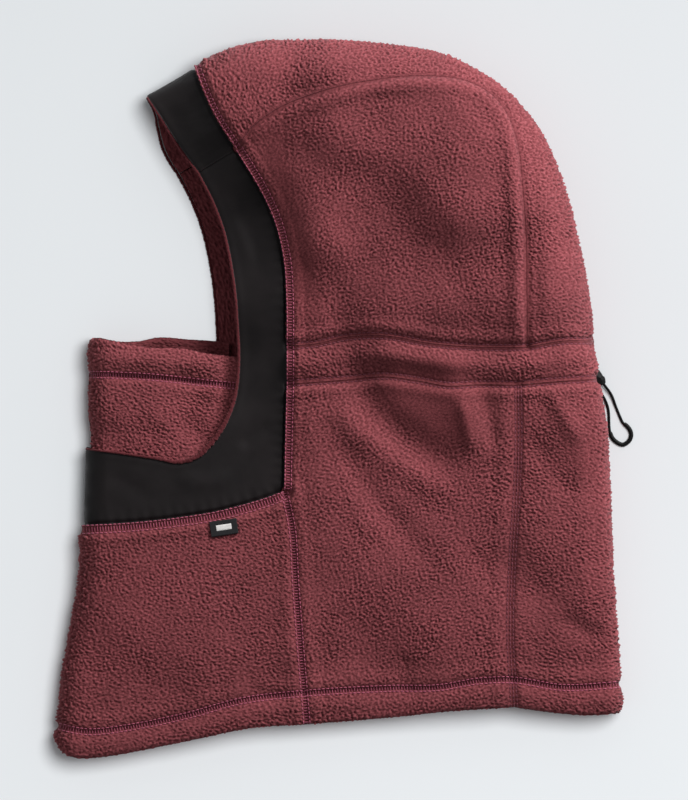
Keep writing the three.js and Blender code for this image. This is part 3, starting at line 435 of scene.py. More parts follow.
def seam_relief():
    """Grooves and puffs beside the seams, in millimetres outwards, the same on both layers: each is a
    height times a bell across its seam."""
    relief = np.zeros(RELIEF.values.shape)
    gap, share = beside(crown_seam, 22)
    ends = smooth(0, 0.06, share) * smooth(1, 0.94, share)
    turn = smooth(0.15, 0.45, share)
    relief -= 1.8 * turn * bell(gap, 2.4)
    relief += (1.3 + 0.8 * turn) * ends * bell(gap + 6.2, 4.6)
    relief -= 0.9 * (1 - turn) * ends * bell(gap - 3, 5)
    relief -= 1.1 * turn * ends * bell(gap - 5, 4.2)
    for route in (trim_hood, trim_channel, trim_neck, trim_forehead):
        gap, _ = beside(route, 10)
        relief -= 1.0 * bell(gap - FRONT_LADDER, 2.2)
        relief += 0.5 * bell(gap - FRONT_LADDER - 5, 3)
    gap, _ = beside(front_neck_seam, 16)
    relief -= 1.0 * bell(gap, 1.8)
    relief += 0.6 * bell(np.abs(gap) - 5.5, 3.6)
    for route, channel_side in ((channel_top, 1), (channel_bottom, -1)):
        gap, share = beside(route, 18)
        inner = gap * channel_side
        relief -= 0.7 * bell(inner + 1.5, 1.0)
        relief -= 0.6 * bell(inner - 2.0, 0.9)
        relief -= 0.7 * bell(inner - 0.3, 3.2)
        relief += 0.9 * bell(inner - 10, 5.0)
        relief += 0.6 * bell(inner + 6, 3.2)
    gap, _ = beside(back_neck_seam, 14)
    for line in BACK_ROWS:
        relief -= 0.5 * bell(gap - line, 0.7)
    relief -= 0.6 * bell(gap, 3.4)
    relief += 0.5 * bell(gap + 9, 4.0)
    gap, _ = beside(rim_back, 22)
    relief += 1.8 * bell(np.abs(gap) - 5, 4.5)
    gap, _ = beside(chin_seam, 14)
    relief -= 1.1 * bell(gap - CHIN_LADDER, 2.9)
    relief += 0.6 * bell(gap - CHIN_LADDER - 6, 3)
    gap, _ = beside(hem_stitch, 24)
    relief -= 1.1 * bell(gap, 1.7)
    relief += 1.2 * bell(gap + 8.5, 6) + 0.5 * bell(gap - 6, 4)
    return relief


FOLD_TAPER = 0.3  # share of a fold's length over which each of its ends runs out
# Folds of the upper layer: the points of each, its height (outwards) and its half width.
FOLDS = [
    ([(80, 136), (74, 86), (68, 22)], 2.4, 19),
    ([(86, 194), (74, 162), (66, 128)], 1.6, 13),
    ([(-4, 126), (10, 88), (24, 40)], -2.2, 16),
    ([(-26, 112), (-13, 80), (-9, 24)], 1.4, 8),
    ([(-46, 226), (-41, 196), (-30, 170), (-20, 144)], 3.4, 17),
    ([(22, 226), (18, 196), (12, 166), (8, 146)], -2.2, 17),
    ([(-6, 56), (20, 49), (60, 46), (95, 44)], -0.5, 8),
    ([(-20, 25), (20, 28), (70, 23), (100, 23)], 0.9, 5),
    ([(-4, 15), (30, 17), (70, 12), (96, 12)], -1.4, 5),
    ([(60, 40), (66, 16), (75, -4), (85, -36)], 3.0, 12),
    ([(12, 34), (12, 14), (24, -8), (52, -30), (82, -48)], -3.0, 10),
    ([(-12, 4), (9, -17), (39, -41), (76, -60)], 1.5, 7.5),
    ([(-12, -12), (12, -46), (46, -88), (66, -112)], -1.9, 9),
    ([(-18, 6), (-17, -28), (-12, -66)], 0.9, 8),
    ([(71, 4), (76, -12), (80, -34)], 1.8, 4),
    ([(86, 14), (89, -8), (94, -34)], -2.0, 5.5),
    ([(146, 50), (155, 27), (160, 4)], -1.8, 6),
    ([(124, 10), (134, -8), (146, -28)], 1.7, 5),
    ([(110, -14), (128, -42), (152, -64)], -1.3, 8),
    ([(70, -84), (104, -108), (142, -122)], -1.1, 14),
    ([(128, -130), (146, -137), (163, -146)], -1.0, 6),
    ([(-152, -84), (-150, -130), (-156, -172)], -1.3, 15),
    ([(-60, -172), (-44, -176), (-28, -176)], -0.9, 6),
    ([(-110, -182), (-102, -170), (-98, -150)], -0.6, 7),
    ([(34, -174), (39, -164), (42, -150)], -0.9, 5),
    ([(-36, -80), (-34, -120), (-30, -170)], 0.5, 5),
]
# Broad swells, which the fleece and the trim over it share.
SWELLS = [
    ([(-76, 190), (-52, 152), (-38, 112)], 3.0, 30),
    ([(-87, 212), (-78, 196), (-63, 168), (-53, 150)], 4.2, 34),
]
# Where the pile lies brushed down and is also coloured darker, as painted shade: by how much of its height,
# and the half width.
BRUSHED_AND_SHADED = [
    ([(8, 12), (34, 2), (76, -32)], 0.9, 12),
    ([(40, 14), (66, 0), (84, -34)], 0.7, 10),
    ([(-50, 182), (-37, 140), (-26, 104), (-20, 70), (-18, 26)], 0.9, 8.5),
    ([(16, 20), (50, 18), (90, 15)], 0.9, 7),
    ([(82, 12), (88, 3), (94, -12)], 0.6, 6),
    ([(136, -16), (143, -34), (152, -52)], 0.5, 7),
]
MASK_FOLDS = [
    ([(-150, 24), (-110, 23), (-62, 19)], 1.3, 5.5),
    ([(-110, 8), (-85, 5), (-60, 4)], 0.9, 4.5),
    ([(-150, 14), (-113, 12.5), (-62, 8)], -1.1, 2.0),
    ([(-98, -10), (-86, -18), (-74, -30)], -2.4, 9),
    ([(-66, 34), (-67, 10), (-71, -8), (-80, -22)], -2.0, 4),
    ([(-100, 20), (-84, 2), (-76, -16)], -1.0, 9),
    ([(-140, -10), (-120, -24), (-112, -34)], 0.8, 9),
]


def fold_relief(folds):
    relief = np.zeros(RELIEF.values.shape)
    for points, height, width in folds:
        gap, share = beside(spline(*points), 2.6 * width, step=1.5)
        ends = smooth(0, FOLD_TAPER, share) * smooth(1, 1 - FOLD_TAPER, share)
        relief += height * ends * bell(gap, width)
    return relief


def patches(seed, size):
    """Soft unevenness over the plan, about 1 high, whose patches are of a size in millimetres."""
    noise = np.random.default_rng(seed).standard_normal(RELIEF.values.shape)
    fy, fx = (np.fft.fftfreq(count, RELIEF.step) for count in noise.shape)
    frequency = np.hypot(fx[None, :], fy[:, None])
    soft = np.fft.ifft2(np.fft.fft2(noise) * np.exp(-(frequency * size) ** 2)).real
    return soft / soft.std()


SEAMS = seam_relief()
# Where stitching presses the pile flat; the pressed pile is also coloured darker there, as painted shade in
# the seams' grooves.
PRESSED_AND_SHADED = pressed_flat()
SWELL = fold_relief(SWELLS)
# This share also sets how much darker the brushed pile is coloured, as painted shade.
NAP_AND_SHADE = np.clip(fold_relief(BRUSHED_AND_SHADED), 0, 0.85)  # the share of its height that brushed pile has lost
COMBED = patches(5, 26)  # where the pile stands up, and where it lies combed flat
FOLDED = SEAMS + SWELL + fold_relief(FOLDS) + 0.12 * patches(6, 30) + 0.06 * patches(7, 11)
FLOOR_PRESS = 0.6
LAID = np.minimum(SEAMS, 0) - FLOOR_PRESS  # the lower layer, which its own weight keeps flat on the floor
MASK_RELIEF = fold_relief(MASK_FOLDS)


# ---- Pile of the fleece -----------------------------------------------------------------------------
PILE_CELLS = 160
PILE_PITCH = 0.3


def ring_noise(seed, wavelength, spread, depth):
    """Noise of one wavelength across a periodic block, which changes slowly up it over a depth: it winds
    like worms."""
    rng = np.random.default_rng(seed)
    block = rng.standard_normal((PILE_CELLS,) * 3).astype(np.float32)
    even = np.fft.fftfreq(PILE_CELLS, PILE_PITCH)
    half = np.fft.rfftfreq(PILE_CELLS, PILE_PITCH)
    across = np.hypot(even[:, None], even[None, :])[:, :, None]
    ring = np.exp(-((across * wavelength - 1) / spread) ** 2 / 2 - (half * depth) ** 2 / 2)
    block = np.fft.irfftn(np.fft.rfftn(block) * ring, s=block.shape).astype(np.float32)
    return block / block.std()


def skewed(angle, lean_x, lean_y):
    """Turns the block in the plan, and leans it so that no two of its repeats show the same layer."""
    turn = math.radians(angle)
    return np.array([[math.cos(turn), math.sin(turn), lean_x], [-math.sin(turn), math.cos(turn), lean_y],
                     [0, 0, 1]])


def read_block(block, points):
    """Value of a periodic block at points in millimetres."""
    place = points / PILE_PITCH
    corner = np.floor(place).astype(int)
    part = (place - corner).astype(np.float32)
    value = np.zeros(points.shape[:-1], np.float32)
    for dx in (0, 1):
        for dy in (0, 1):
            for dz in (0, 1):
                i, j, k = ((corner[..., n] + d) % PILE_CELLS for n, d in enumerate((dx, dy, dz)))
                weight = np.ones_like(value)
                for n, d in enumerate((dx, dy, dz)):
                    weight *= part[..., n] if d else 1 - part[..., n]
                value += weight * block[i, j, k]
    return value


WORMS = ring_noise(11, 2.25, 0.42, 9)
CURLS = ring_noise(12, 1.3, 0.3, 6)
GRAIN = np.array([0.74, 1.0, 1.0])  # the curls run a little longer across than up the garment
TURN_WORMS = skewed(31, 0.23, 0.17)
TURN_CURLS = skewed(64, -0.19, 0.27)
CURL_SHARE = 0.75  # height of the small curls beside the large ones
PILE_SPAN = 3.1  # noise that is taken as a curl's top, and turned over as the deepest crevice


def pile(points):
    """Height of the pile from 0 in the deepest crevice to 1 on a curl's top."""
    grained = points * GRAIN
    curls = read_block(CURLS, grained @ TURN_CURLS)
    return smooth(-PILE_SPAN, PILE_SPAN, read_block(WORMS, grained @ TURN_WORMS) + CURL_SHARE * curls)


# ---- Meshes ---------------------------------------------------------------------------------------
def volume_of(points, triangles):
    a, b, c = (points[triangles[:, k]] for k in range(3))
    return np.einsum("ij,ij->", a, np.cross(b, c))


def new_mesh(name, points, faces, material, attributes=None):
    """An object from points in millimetres. faces is a list of arrays of quads or triangles."""
    triangles = np.vstack([part[:, :3] for part in faces] + [part[:, [0, 2, 3]] for part in faces
                                                              if part.shape[1] == 4])
    if volume_of(points, triangles) < 0:
        faces = [part[:, ::-1] for part in faces]
    mesh = bpy.data.meshes.new(name)
    mesh.from_pydata((points * MM).tolist(), [], [face for part in faces for face in part.tolist()])
    for key, values in (attributes or {}).items():
        mesh.attributes.new(key, "FLOAT", "POINT").data.foreach_set("value", values.astype(np.float32))
    mesh.shade_smooth()
    mesh.materials.append(material)
    piece = bpy.data.objects.new(name, mesh)
    bpy.context.scene.collection.objects.link(piece)
    return piece


def grid_quads(first, rows, columns, closed=False):
    """Quads of a grid whose points are numbered row by row from first. closed joins the last row on."""
    i, j = np.meshgrid(np.arange(rows if closed else rows - 1), np.arange(columns - 1), indexing="ij")
    following = (i + 1) % rows
    corners = [i * columns + j, i * columns + j + 1, following * columns + j + 1, following * columns + j]
    return first + np.stack([corner.ravel() for corner in corners], -1)


def zip_edges(fine, coarse, marks):
    """Triangles between a fine row of points and a coarse one, whose points stand at marks in it."""
    triangles = []
    for k in range(len(marks) - 1):
        low, high = marks[k], marks[k + 1]
        middle = (low + high + 1) // 2
        triangles += [(coarse[k], fine[n], fine[n + 1]) for n in range(low, middle)]
        triangles.append((coarse[k], fine[middle], coarse[k + 1]))
        triangles += [(coarse[k + 1], fine[n], fine[n + 1]) for n in range(middle, high)]
    return np.array(triangles)


def marks_along(grid, cell):
    """Numbers of the rows that stand about a cell apart, ends included."""
    middle = grid[:, grid.shape[1] // 2]
    walked = np.append(0, np.cumsum(np.linalg.norm(np.diff(middle, axis=0), axis=1)))
    steps = max(2, int(round(walked[-1] / cell)))
    found = np.searchsorted(walked, np.linspace(0, walked[-1], steps + 1) - 1e-6)
    return np.unique(np.clip(found, 0, len(grid) - 1))


def normals_of(grid):
    """Normals of a grid of points, pointing to the same side all over."""
    normal = np.cross(np.gradient(grid, axis=0), np.gradient(grid, axis=1))
    return normal / np.maximum(np.linalg.norm(normal, axis=-1, keepdims=True), 1e-9)


def slab(name, outer, inner, material, outer_pile, inner_pile, inner_cell=COARSE):
    """Closed body from a fine outer grid and an inner grid of the same shape, which is thinned out."""
    rows, columns = outer.shape[:2]
    row_marks = marks_along(outer, inner_cell)
    column_marks = marks_along(outer.swapaxes(0, 1), inner_cell)
    kept = np.ix_(row_marks, column_marks)
    thin = inner[kept]
    fine = np.arange(rows * columns).reshape(rows, columns)
    coarse = rows * columns + np.arange(thin.shape[0] * thin.shape[1]).reshape(thin.shape[:2])
    faces = [
        grid_quads(0, rows, columns),
        grid_quads(rows * columns, *thin.shape[:2])[:, ::-1],
        zip_edges(fine[0], coarse[0], column_marks),
        zip_edges(fine[-1], coarse[-1], column_marks)[:, ::-1],
        zip_edges(fine[:, 0], coarse[:, 0], row_marks)[:, ::-1],
        zip_edges(fine[:, -1], coarse[:, -1], row_marks),
    ]
    points = np.vstack([outer.reshape(-1, 3), thin.reshape(-1, 3)])
    return new_mesh(name, points, faces, material,
                    {"pile": np.concatenate([outer_pile.ravel(), inner_pile[kept].ravel()])})


# ---- Grids of plan points ---------------------------------------------------------------------------
def even_shares(length, cell):
    return np.linspace(0, 1, max(2, int(math.ceil(length / cell))) + 1)


ROLL_ARC = 36  # length of the rolled surface beside the rim


def rim_shares(width, cell):
    """Shares from the rim inwards whose points stand about a cell apart on the rolled surface."""
    roll = min(0.9, RIM_ROLL / width)
    turned = np.linspace(0, HALF_ROLL, int(ROLL_ARC / cell), endpoint=False)
    flat = np.linspace(roll, 1, max(2, int(width * (1 - roll) / cell)))
    return np.append(roll * (1 - np.cos(turned)), flat)


def patch(first, last, start, end, us, vs, margins):
    """Coons patch of four routes: u runs along first and last, v from first to last.
    margins are kept clear at [v=0, v=1, u=0, u=1], in millimetres."""
    def at(u, v):
        u, v = np.broadcast_arrays(u, v)
        a, b, c, d = first.at(u), last.at(u), start.at(v), end.at(v)
        u, v = u[..., None], v[..., None]
        corners = ((1 - u) * (1 - v) * first.points[0] + u * (1 - v) * first.points[-1]
                   + (1 - u) * v * last.points[0] + u * v * last.points[-1])
        return (1 - v) * a + v * b + (1 - u) * c + u * d - corners

    wide = np.linalg.norm(at(0.0, vs) - at(1.0, vs), axis=-1)[:, None]
    deep = np.linalg.norm(at(us, 0.0) - at(us, 1.0), axis=-1)[None, :]
    u, v = us[None, :], vs[:, None]
    u_in = margins[2] / wide + (1 - (margins[2] + margins[3]) / wide) * u
    v_in = margins[0] / deep + (1 - (margins[0] + margins[1]) / deep) * v
    return at(u_in, v_in)


def two_layers(plan, carry=below):
    """The grid's first row lies on the rim, and the lower layer joins on behind it, with fewer rows.
    Gives plan points, the plan points that their relief is read at, and the side of each."""
    lower = plan[LOWER_SKIP::LOWER_SKIP][::-1]
    places = np.concatenate([carry(lower), plan])
    sources = np.concatenate([lower, plan])
    side = np.ones(places.shape[:2])
    side[:len(lower)] = -1
    side[len(lower)] = 0
    return places, sources, side


def one_layer(plan, side=1, carry=below):
    return (plan if side > 0 else carry(plan)), plan, np.full(plan.shape[:2], float(side))


EDGE_ROUND = 2.4
RIM_FUZZ = 0.8  # how much fuller the pile stands where the cloth is bent round the rim
RIM_FUZZ_REACH = (9, 2)  # distances inside the rim from which, and by which, it stands so
COMBED_LIFT = 0.18  # how much the pile's height varies from patch to patch
# Painted shade: pile pressed by stitching or brushed down is coloured darker by this share, for the shade
# in the seams' grooves and in hollows.
PAINTED_PRESS_SHADE = 0.5  # how much darker pressed pile looks
# Painted shade: on faces inside the garment the pile's height is scaled by this share before it is
# coloured, so they come out darker, as in the shade there.
INSIDE_PAINTED_SHADE = 0.6  # how bright the pile looks inside the garment
BACKING_FOLLOWS = 0.5  # share of the outer face's dents that reaches the inner face
DEEPEST_DENT = 3
EDGE_CLOSES = 0.9  # how nearly the inner face meets the outer one at a rounded edge
PILE_ROOT = 0.5  # share of the pile's height that is sunk under the panel's face
INNER_PILE_ROOT = 0.35
BOTH_CELL = 0.8 * FINE  # grid cell of the inner face where both faces are seen


def cut_size(grid):
    """Width, length and area, in metres, of the cloth that a grid of surface points was cut from."""
    width = np.linalg.norm(np.diff(grid, axis=0), axis=-1).sum(0).max()
    length = np.linalg.norm(np.diff(grid, axis=1), axis=-1).sum(1).max()
    across = np.cross(grid[1:, 1:] - grid[:-1, :-1], grid[1:, :-1] - grid[:-1, 1:])
    return width * MM, length * MM, np.linalg.norm(across, axis=-1).sum() / 2 * MM ** 2


def cloth(name, layers, depths, material, upper=FOLDED, lower=LAID, loft=1.05, edge=None, dent=None,
          furred="outside"):
    """A panel with pile. depths are of its outer and inner faces, or functions of the plan points.
    upper and lower are the reliefs of the two layers, and loft is the pile's height. edge says how far
    the panel is rounded off, dent presses a hole's mouth into it, and furred says which faces have pile."""
    places, sources, side = layers
    top, bottom = (depth(places) if callable(depth) else np.full(side.shape, float(depth))
                   for depth in depths)
    outward = np.where(side >= 0, RELIEF.read(sources, upper), RELIEF.read(sources, lower))
    base = lay(places, side, top - outward)
    inner = lay(places, side, bottom - BACKING_FOLLOWS * np.clip(outward, -DEEPEST_DENT, 0))
    if edge is not None:
        share = edge(sources)[..., None]
        middle = (base + inner) / 2
        base += share * (middle - base)
        inner += share * EDGE_CLOSES * (middle - inner)
    pressed = RELIEF.read(sources, PRESSED_AND_SHADED)
    brushed_and_shaded = np.where(side >= 0, RELIEF.read(sources, NAP_AND_SHADE), 0)
    standing = 1 + COMBED_LIFT * np.clip(RELIEF.read(sources, COMBED), -2, 2)
    standing = standing * (1 - pressed) * (1 - brushed_and_shaded)
    standing *= 1 + RIM_FUZZ * smooth(*RIM_FUZZ_REACH, RIM.read(places))
    normal = normals_of(base)
    normal *= np.sign(np.einsum("ijk,ijk->", normal, base - inner))
    outer_pile, inner_pile = pile(base), pile(inner)
    cut = cut_size(lay(places, side, top))
    if furred != "outside":
        inner = inner - normal * (loft * (inner_pile - INNER_PILE_ROOT))[..., None]
    if furred == "inside":
        piece = slab(name, inner, base, material, inner_pile * INSIDE_PAINTED_SHADE, outer_pile)
        return piece
    raised = base + normal * (loft * standing * (outer_pile - PILE_ROOT))[..., None]
    if dent is not None:
        centre, way, radius, depth = dent
        within = smooth(radius, 0.7 * radius, np.linalg.norm(base - centre, axis=-1))
        raised += way * (depth * within)[..., None]
    # Painted shade: pressed or brushed pile is coloured darker.
    outer_painted_shade = outer_pile * (1 - PAINTED_PRESS_SHADE * np.maximum(pressed, brushed_and_shaded))
    piece = slab(name, raised, inner, material, outer_painted_shade, inner_pile * INSIDE_PAINTED_SHADE,
                 BOTH_CELL if furred == "both" else COARSE)
    return piece


# ---- Materials --------------------------------------------------------------------------------------
def srgb(red, green, blue):
    """Linear colour of a screen colour whose channels run to 255."""
    levels = np.array([red, green, blue]) / 255
    linear = np.where(levels > 0.04045, ((levels + 0.055) / 1.055) ** 2.4, levels / 12.92)
    return (*(float(level) for level in linear), 1.0)


class Finish:
    """A material under construction: its shader's own sockets are set by name, the rest by nodes."""

    def __init__(self, name, **sockets):
        self.material = bpy.data.materials.new(name)
        self.material.use_nodes = True
        self.tree = self.material.node_tree
        self.shader = self.tree.nodes["Principled BSDF"]
        self.place = self.node("ShaderNodeTexCoord").outputs["Object"]
        for socket, value in sockets.items():
            self.shader.inputs[socket.replace("_", " ")].default_value = value

    def node(self, kind, settings=None, **inputs):
        made = self.tree.nodes.new(kind)
        for key, value in (settings or {}).items():
            setattr(made, key, value)
        for key, value in inputs.items():
            socket = made.inputs[key.replace("_", " ")]
            if isinstance(value, bpy.types.NodeSocket):
                self.tree.links.new(value, socket)
            else:
                socket.default_value = value
        return made

    def noise(self, size, detail=2.0, roughness=0.6):
        """Value of noise whose features are about a size in millimetres."""
        return self.node("ShaderNodeTexNoise", Vector=self.place, Scale=1000 / size, Detail=detail,
                         Roughness=roughness).outputs["Fac"]

    def band(self, axis, pitch):
        """Waves along an axis, a pitch in millimetres apart."""
        settings = {"wave_type": "BANDS", "bands_direction": axis}
        scale = 2 * math.pi / (20 * pitch * MM)
        return self.node("ShaderNodeTexWave", settings, Vector=self.place, Scale=scale).outputs["Fac"]

    def spread(self, value, low, high):
        """A 0 to 1 value spread between two others. Noise stays near its middle, so that is stretched."""
        return self.node("ShaderNodeMapRange", Value=value, **{
            "From_Min": 0.3, "From_Max": 0.7, "To_Min": low, "To_Max": high}).outputs["Result"]

    def product(self, a, b):
        made = self.node("ShaderNodeMath", {"operation": "MULTIPLY"})
        for socket, value in zip(made.inputs, (a, b)):
            self.tree.links.new(value, socket)
        return made.outputs["Value"]

    def ramp(self, value, *stops):
        made = self.node("ShaderNodeValToRGB", Fac=value)
        stops_made = made.color_ramp.elements
        while len(stops_made) < len(stops):
            stops_made.new(0.5)
        for stop, (place, color) in zip(stops_made, stops):
            stop.position = place
            stop.color = color
        return made.outputs["Color"]

    def scaled(self, color, value):
        made = self.node("ShaderNodeVectorMath", {"operation": "SCALE"}, Scale=value)
        self.tree.links.new(color, made.inputs[0])
        return made.outputs["Vector"]

    def finish(self, color=None, roughness=None, height=None, bump=0.5, distance=0.1):
        for socket, value in (("Base Color", color), ("Roughness", roughness)):
            if value is not None:
                self.tree.links.new(value, self.shader.inputs[socket])
        if height is not None:
            bumped = self.node("ShaderNodeBump", Height=height, Strength=bump, Distance=distance * MM)
            self.tree.links.new(bumped.outputs["Normal"], self.shader.inputs["Normal"])
        return self.material


def fleece_finish(name, crevice_shade, body, tip_highlight):
    """High-pile fleece, coloured by the pile's height: painted shade between the curls and a painted
    highlight on their tops, uneven from patch to patch.
    """
    made = Finish(name, Sheen_Weight=0.18, Sheen_Roughness=0.45, Sheen_Tint=(1, 0.6, 0.63, 1),
                  Specular_IOR_Level=0.12)
    height = made.node("ShaderNodeAttribute", {"attribute_name": "pile"}).outputs["Fac"]
    color = made.ramp(height, (0.0, crevice_shade), (0.5, body), (1.0, tip_highlight))
    patches = made.spread(made.noise(34, 3), 0.9, 1.1)
    fibres = made.spread(made.noise(0.9, 3, 0.7), 0.84, 1.16)
    color = made.scaled(made.scaled(color, patches), fibres)
    roughness = made.spread(made.noise(3), 0.88, 1.0)
    return made.finish(color, roughness, made.noise(0.8, 3, 0.75), bump=0.6, distance=0.5)


def woven_finish(name, dark, light, pitch, **sockets):
    """Plain weave: two sets of yarns that pass over and under each other. Its colour follows the yarns'
    height, with painted shade in the dips and a painted highlight on the tops.
    """
    made = Finish(name, **sockets)
    surface = weave(pitch)(made)
    color = made.ramp(made.noise(26, 4), (0.3, dark), (0.7, light))
    # Painted shade and highlight: darker where the yarns dip, lighter on their tops.
    color = made.scaled(color, made.spread(surface, 0.93, 1.06))
    roughness = made.spread(made.noise(9, 3), 0.5, 0.68)
    return made.finish(color, roughness, surface, bump=0.35, distance=0.12)


def small_finish(name, tones, mottle, matte, surface, bump, distance, **sockets):
    """Finish of a small part. tones are its two colours. mottle is the noise by which they lie in patches,
    matte that of its roughness, with its range, and surface makes its height out of the Finish."""
    made = Finish(name, **sockets)
    dark, light = tones
    color = made.ramp(made.noise(*mottle), (0.3, srgb(*dark)), (0.7, srgb(*light)))
    noise, least, most = matte
    roughness = made.spread(made.noise(*noise), least, most)
    return made.finish(color, roughness, surface(made), bump=bump, distance=distance)


def weave(pitch):
    """Makes the height of two sets of yarns that cross, a pitch in millimetres apart."""
    return lambda made: made.product(made.band("X", pitch), made.band("Y", pitch))


def twist(made):
    return made.band("DIAGONAL", 0.35)


def floor_finish():
    made = Finish("floor", Specular_IOR_Level=0.1)
    color = made.ramp(made.noise(400, 2), (0.3, (0.80, 0.815, 0.83, 1)), (0.7, (0.82, 0.835, 0.85, 1)))
    # Painted light: the floor is coloured a little brighter towards -Y and a little darker towards +Y, for
    # the lamp's uneven reach.
    along = made.node("ShaderNodeSeparateXYZ", Vector=made.place).outputs["Y"]
    painted_falloff = made.node("ShaderNodeMapRange", Value=along, **{
        "From_Min": -0.25, "From_Max": 0.25, "To_Min": 1.05, "To_Max": 0.96}).outputs["Result"]
    return made.finish(made.scaled(color, painted_falloff), made.spread(made.noise(120), 0.75, 0.85))


# The crevice colour is painted shade and the tip colour a painted highlight; the body colour between them
# is the fleece's own.
FLEECE_LOOK = fleece_finish("fleece", srgb(80, 33, 37), srgb(115, 57, 61), srgb(138, 73, 78))
# The inside fleece is the outer fleece with its body colour painted a little paler, as painted light
# against the shade inside the garment.
INNER_LOOK = fleece_finish("fleece_inside", srgb(80, 33, 37), srgb(117, 58, 62), srgb(138, 73, 78))
TRIM_LOOK = woven_finish("woven_nylon", srgb(15, 11, 12), srgb(24, 19, 20), 0.5, Sheen_Weight=0.02,
                         Sheen_Roughness=0.4, Specular_IOR_Level=0.2)
LABEL_LOOK = woven_finish("label_tape", srgb(18, 18, 20), srgb(28, 28, 31), 0.4, Specular_IOR_Level=0.3)
THREAD_LOOK, BED_LOOK = (
    small_finish(name, tones, (1.4, 2), ((0.8,), 0.5, 0.75), twist, 0.4, 0.08, Sheen_Weight=0.2,
                 Specular_IOR_Level=0.3)
    for name, tones in (("thread", ((132, 52, 76), (162, 76, 100))),
                        ("thread_under", ((100, 36, 54), (118, 48, 66))))
)
CORD_LOOK = small_finish("braided_cord", ((5, 5, 5), (13, 12, 13)), (1.2, 2), ((0.8,), 0.62, 0.85),
                         weave(0.5), 0.4, 0.1, Sheen_Weight=0.03, Specular_IOR_Level=0.1)
PLASTIC_LOOK = small_finish("moulded_plastic", ((8, 8, 8), (14, 14, 14)), (5, 3), ((0.5, 3), 0.5, 0.66),
                            lambda made: made.noise(0.12, 2), 0.2, 0.03, Specular_IOR_Level=0.12)
STEEL_LOOK = small_finish("spring_wire", ((150, 150, 152), (196, 196, 198)), (0.6, 2),
                          ((0.3,), 0.25, 0.42), lambda made: made.band("Z", 0.05), 0.15, 0.01,
                          Metallic=1.0)
PALE_LOOK = small_finish("pale_weave", ((196, 194, 192), (216, 214, 212)), (2, 2), ((0.6,), 0.6, 0.8),
                         weave(0.4), 0.4, 0.08, Sheen_Weight=0.15)


FLOOR_REACH = 4.0


def make_floor():
    mesh = bpy.data.meshes.new("floor")
    reach = FLOOR_REACH
    mesh.from_pydata([(-reach, -reach, 0), (reach, -reach, 0), (reach, reach, 0), (-reach, reach, 0)], [],
                     [(0, 1, 2, 3)])
    mesh.materials.append(floor_finish())
    floor = bpy.data.objects.new("floor", mesh)
    bpy.context.scene.collection.objects.link(floor)
    return floor


make_light(make_floor())


def attach(piece, body, slot, *nodes):
    """Says what a piece moves with and the CAD nodes that it stands for, which it hides. slot is not used.
    """
    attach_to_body(piece, body)
    if nodes:
        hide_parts(*nodes)
    return piece


# ---- Drawcord and its lock ----------------------------------------------------------------------------
CORD_RADIUS = 0.8
SLEEVE_RADIUS = 1.3
SLEEVE_RIB_PITCH = 1.4
SLEEVE_RIB_HEIGHT = 0.03  # as a share of its radius
SLEEVE_STEPS = 90
SLEEVE_SIDES = 20
STRAND_OFFSET = 1.1  # from the eyelet's middle to each end of the loop
EYELET_PLAN = np.array([152.3, 23.5])
EYELET_DEPTH = 3.2  # how far into the eyelet the loop's ends reach
LOCK_END = np.array([158, 8.4, 4.6])  # middle of the end of the lock at which the loop comes out
LOCK_ANGLE = math.radians(-65.7)

eyelet_centre = lay(EYELET_PLAN, -1, 0.0)
eyelet_out = eyelet_centre - lay(EYELET_PLAN, -1, 1.0)
eyelet_out /= np.linalg.norm(eyelet_out)
lock_axis = np.array([math.cos(LOCK_ANGLE), math.sin(LOCK_ANGLE), 0])
lock_across = np.array([-lock_axis[1], lock_axis[0], 0])


def at_eyelet(out, sideways):
    return tuple(eyelet_centre + out * eyelet_out + np.array([0, sideways, 0]))


def lock_point(out, across):
    return tuple(LOCK_END + out * lock_axis + across * lock_across)


# The end of the loop that is pulled, under its sleeve, and the whole loop from the eyelet and back.
PULL_END = [
    (171.6, -14.1, 1.5), (174.2, -16.2, 1.5), (176.1, -19, 1.5), (176.5, -22, 1.5), (175.2, -25, 1.5),
    (171.6, -27.2, 1.5), (167.8, -25.7, 1.5), (164.9, -22.6, 1.5), (163.6, -18.8, 1.5),
]
LOOP = [
    at_eyelet(-EYELET_DEPTH, STRAND_OFFSET), at_eyelet(2.4, STRAND_OFFSET),
    lock_point(-11.4, 1), lock_point(-8, 1.2), lock_point(-3.2, 1.7), lock_point(0, 2.1),
    (164.4, 3, 2.8), (167.4, -4.6, 1.4), (169.6, -10, 1.2), *PULL_END, (163.2, -13.4, 1.2),
    (163.1, -9.4, 1.2), (162.5, -5, 1.6), (160.8, -0.4, 2.6), (158, 4.4, 3.8),
    lock_point(0, -2.1), lock_point(-3.2, -1.7), lock_point(-8, -1.2), lock_point(-11.4, -1),
    at_eyelet(2.4, -STRAND_OFFSET), at_eyelet(-EYELET_DEPTH, -STRAND_OFFSET),
]


def rings_along(points, radius, sides):
    """Rings of points round a path, square to it. radius is one number or one for every ring point."""
    way = np.gradient(points, axis=0)
    way /= np.linalg.norm(way, axis=1, keepdims=True)
    across = np.cross(way[0], (0, 0, 1))
    frames = []
    for direction in way:
        across = across - direction * (across @ direction)
        across /= np.linalg.norm(across)
        frames.append((across, np.cross(direction, across)))
    frames = np.array(frames)
    angle = np.linspace(0, 2 * math.pi, sides, endpoint=False)
    offset = (np.cos(angle)[None, :, None] * frames[:, None, 0]
              + np.sin(angle)[None, :, None] * frames[:, None, 1])
    return points[:, None] + offset * np.broadcast_to(radius, (len(points), sides))[..., None]


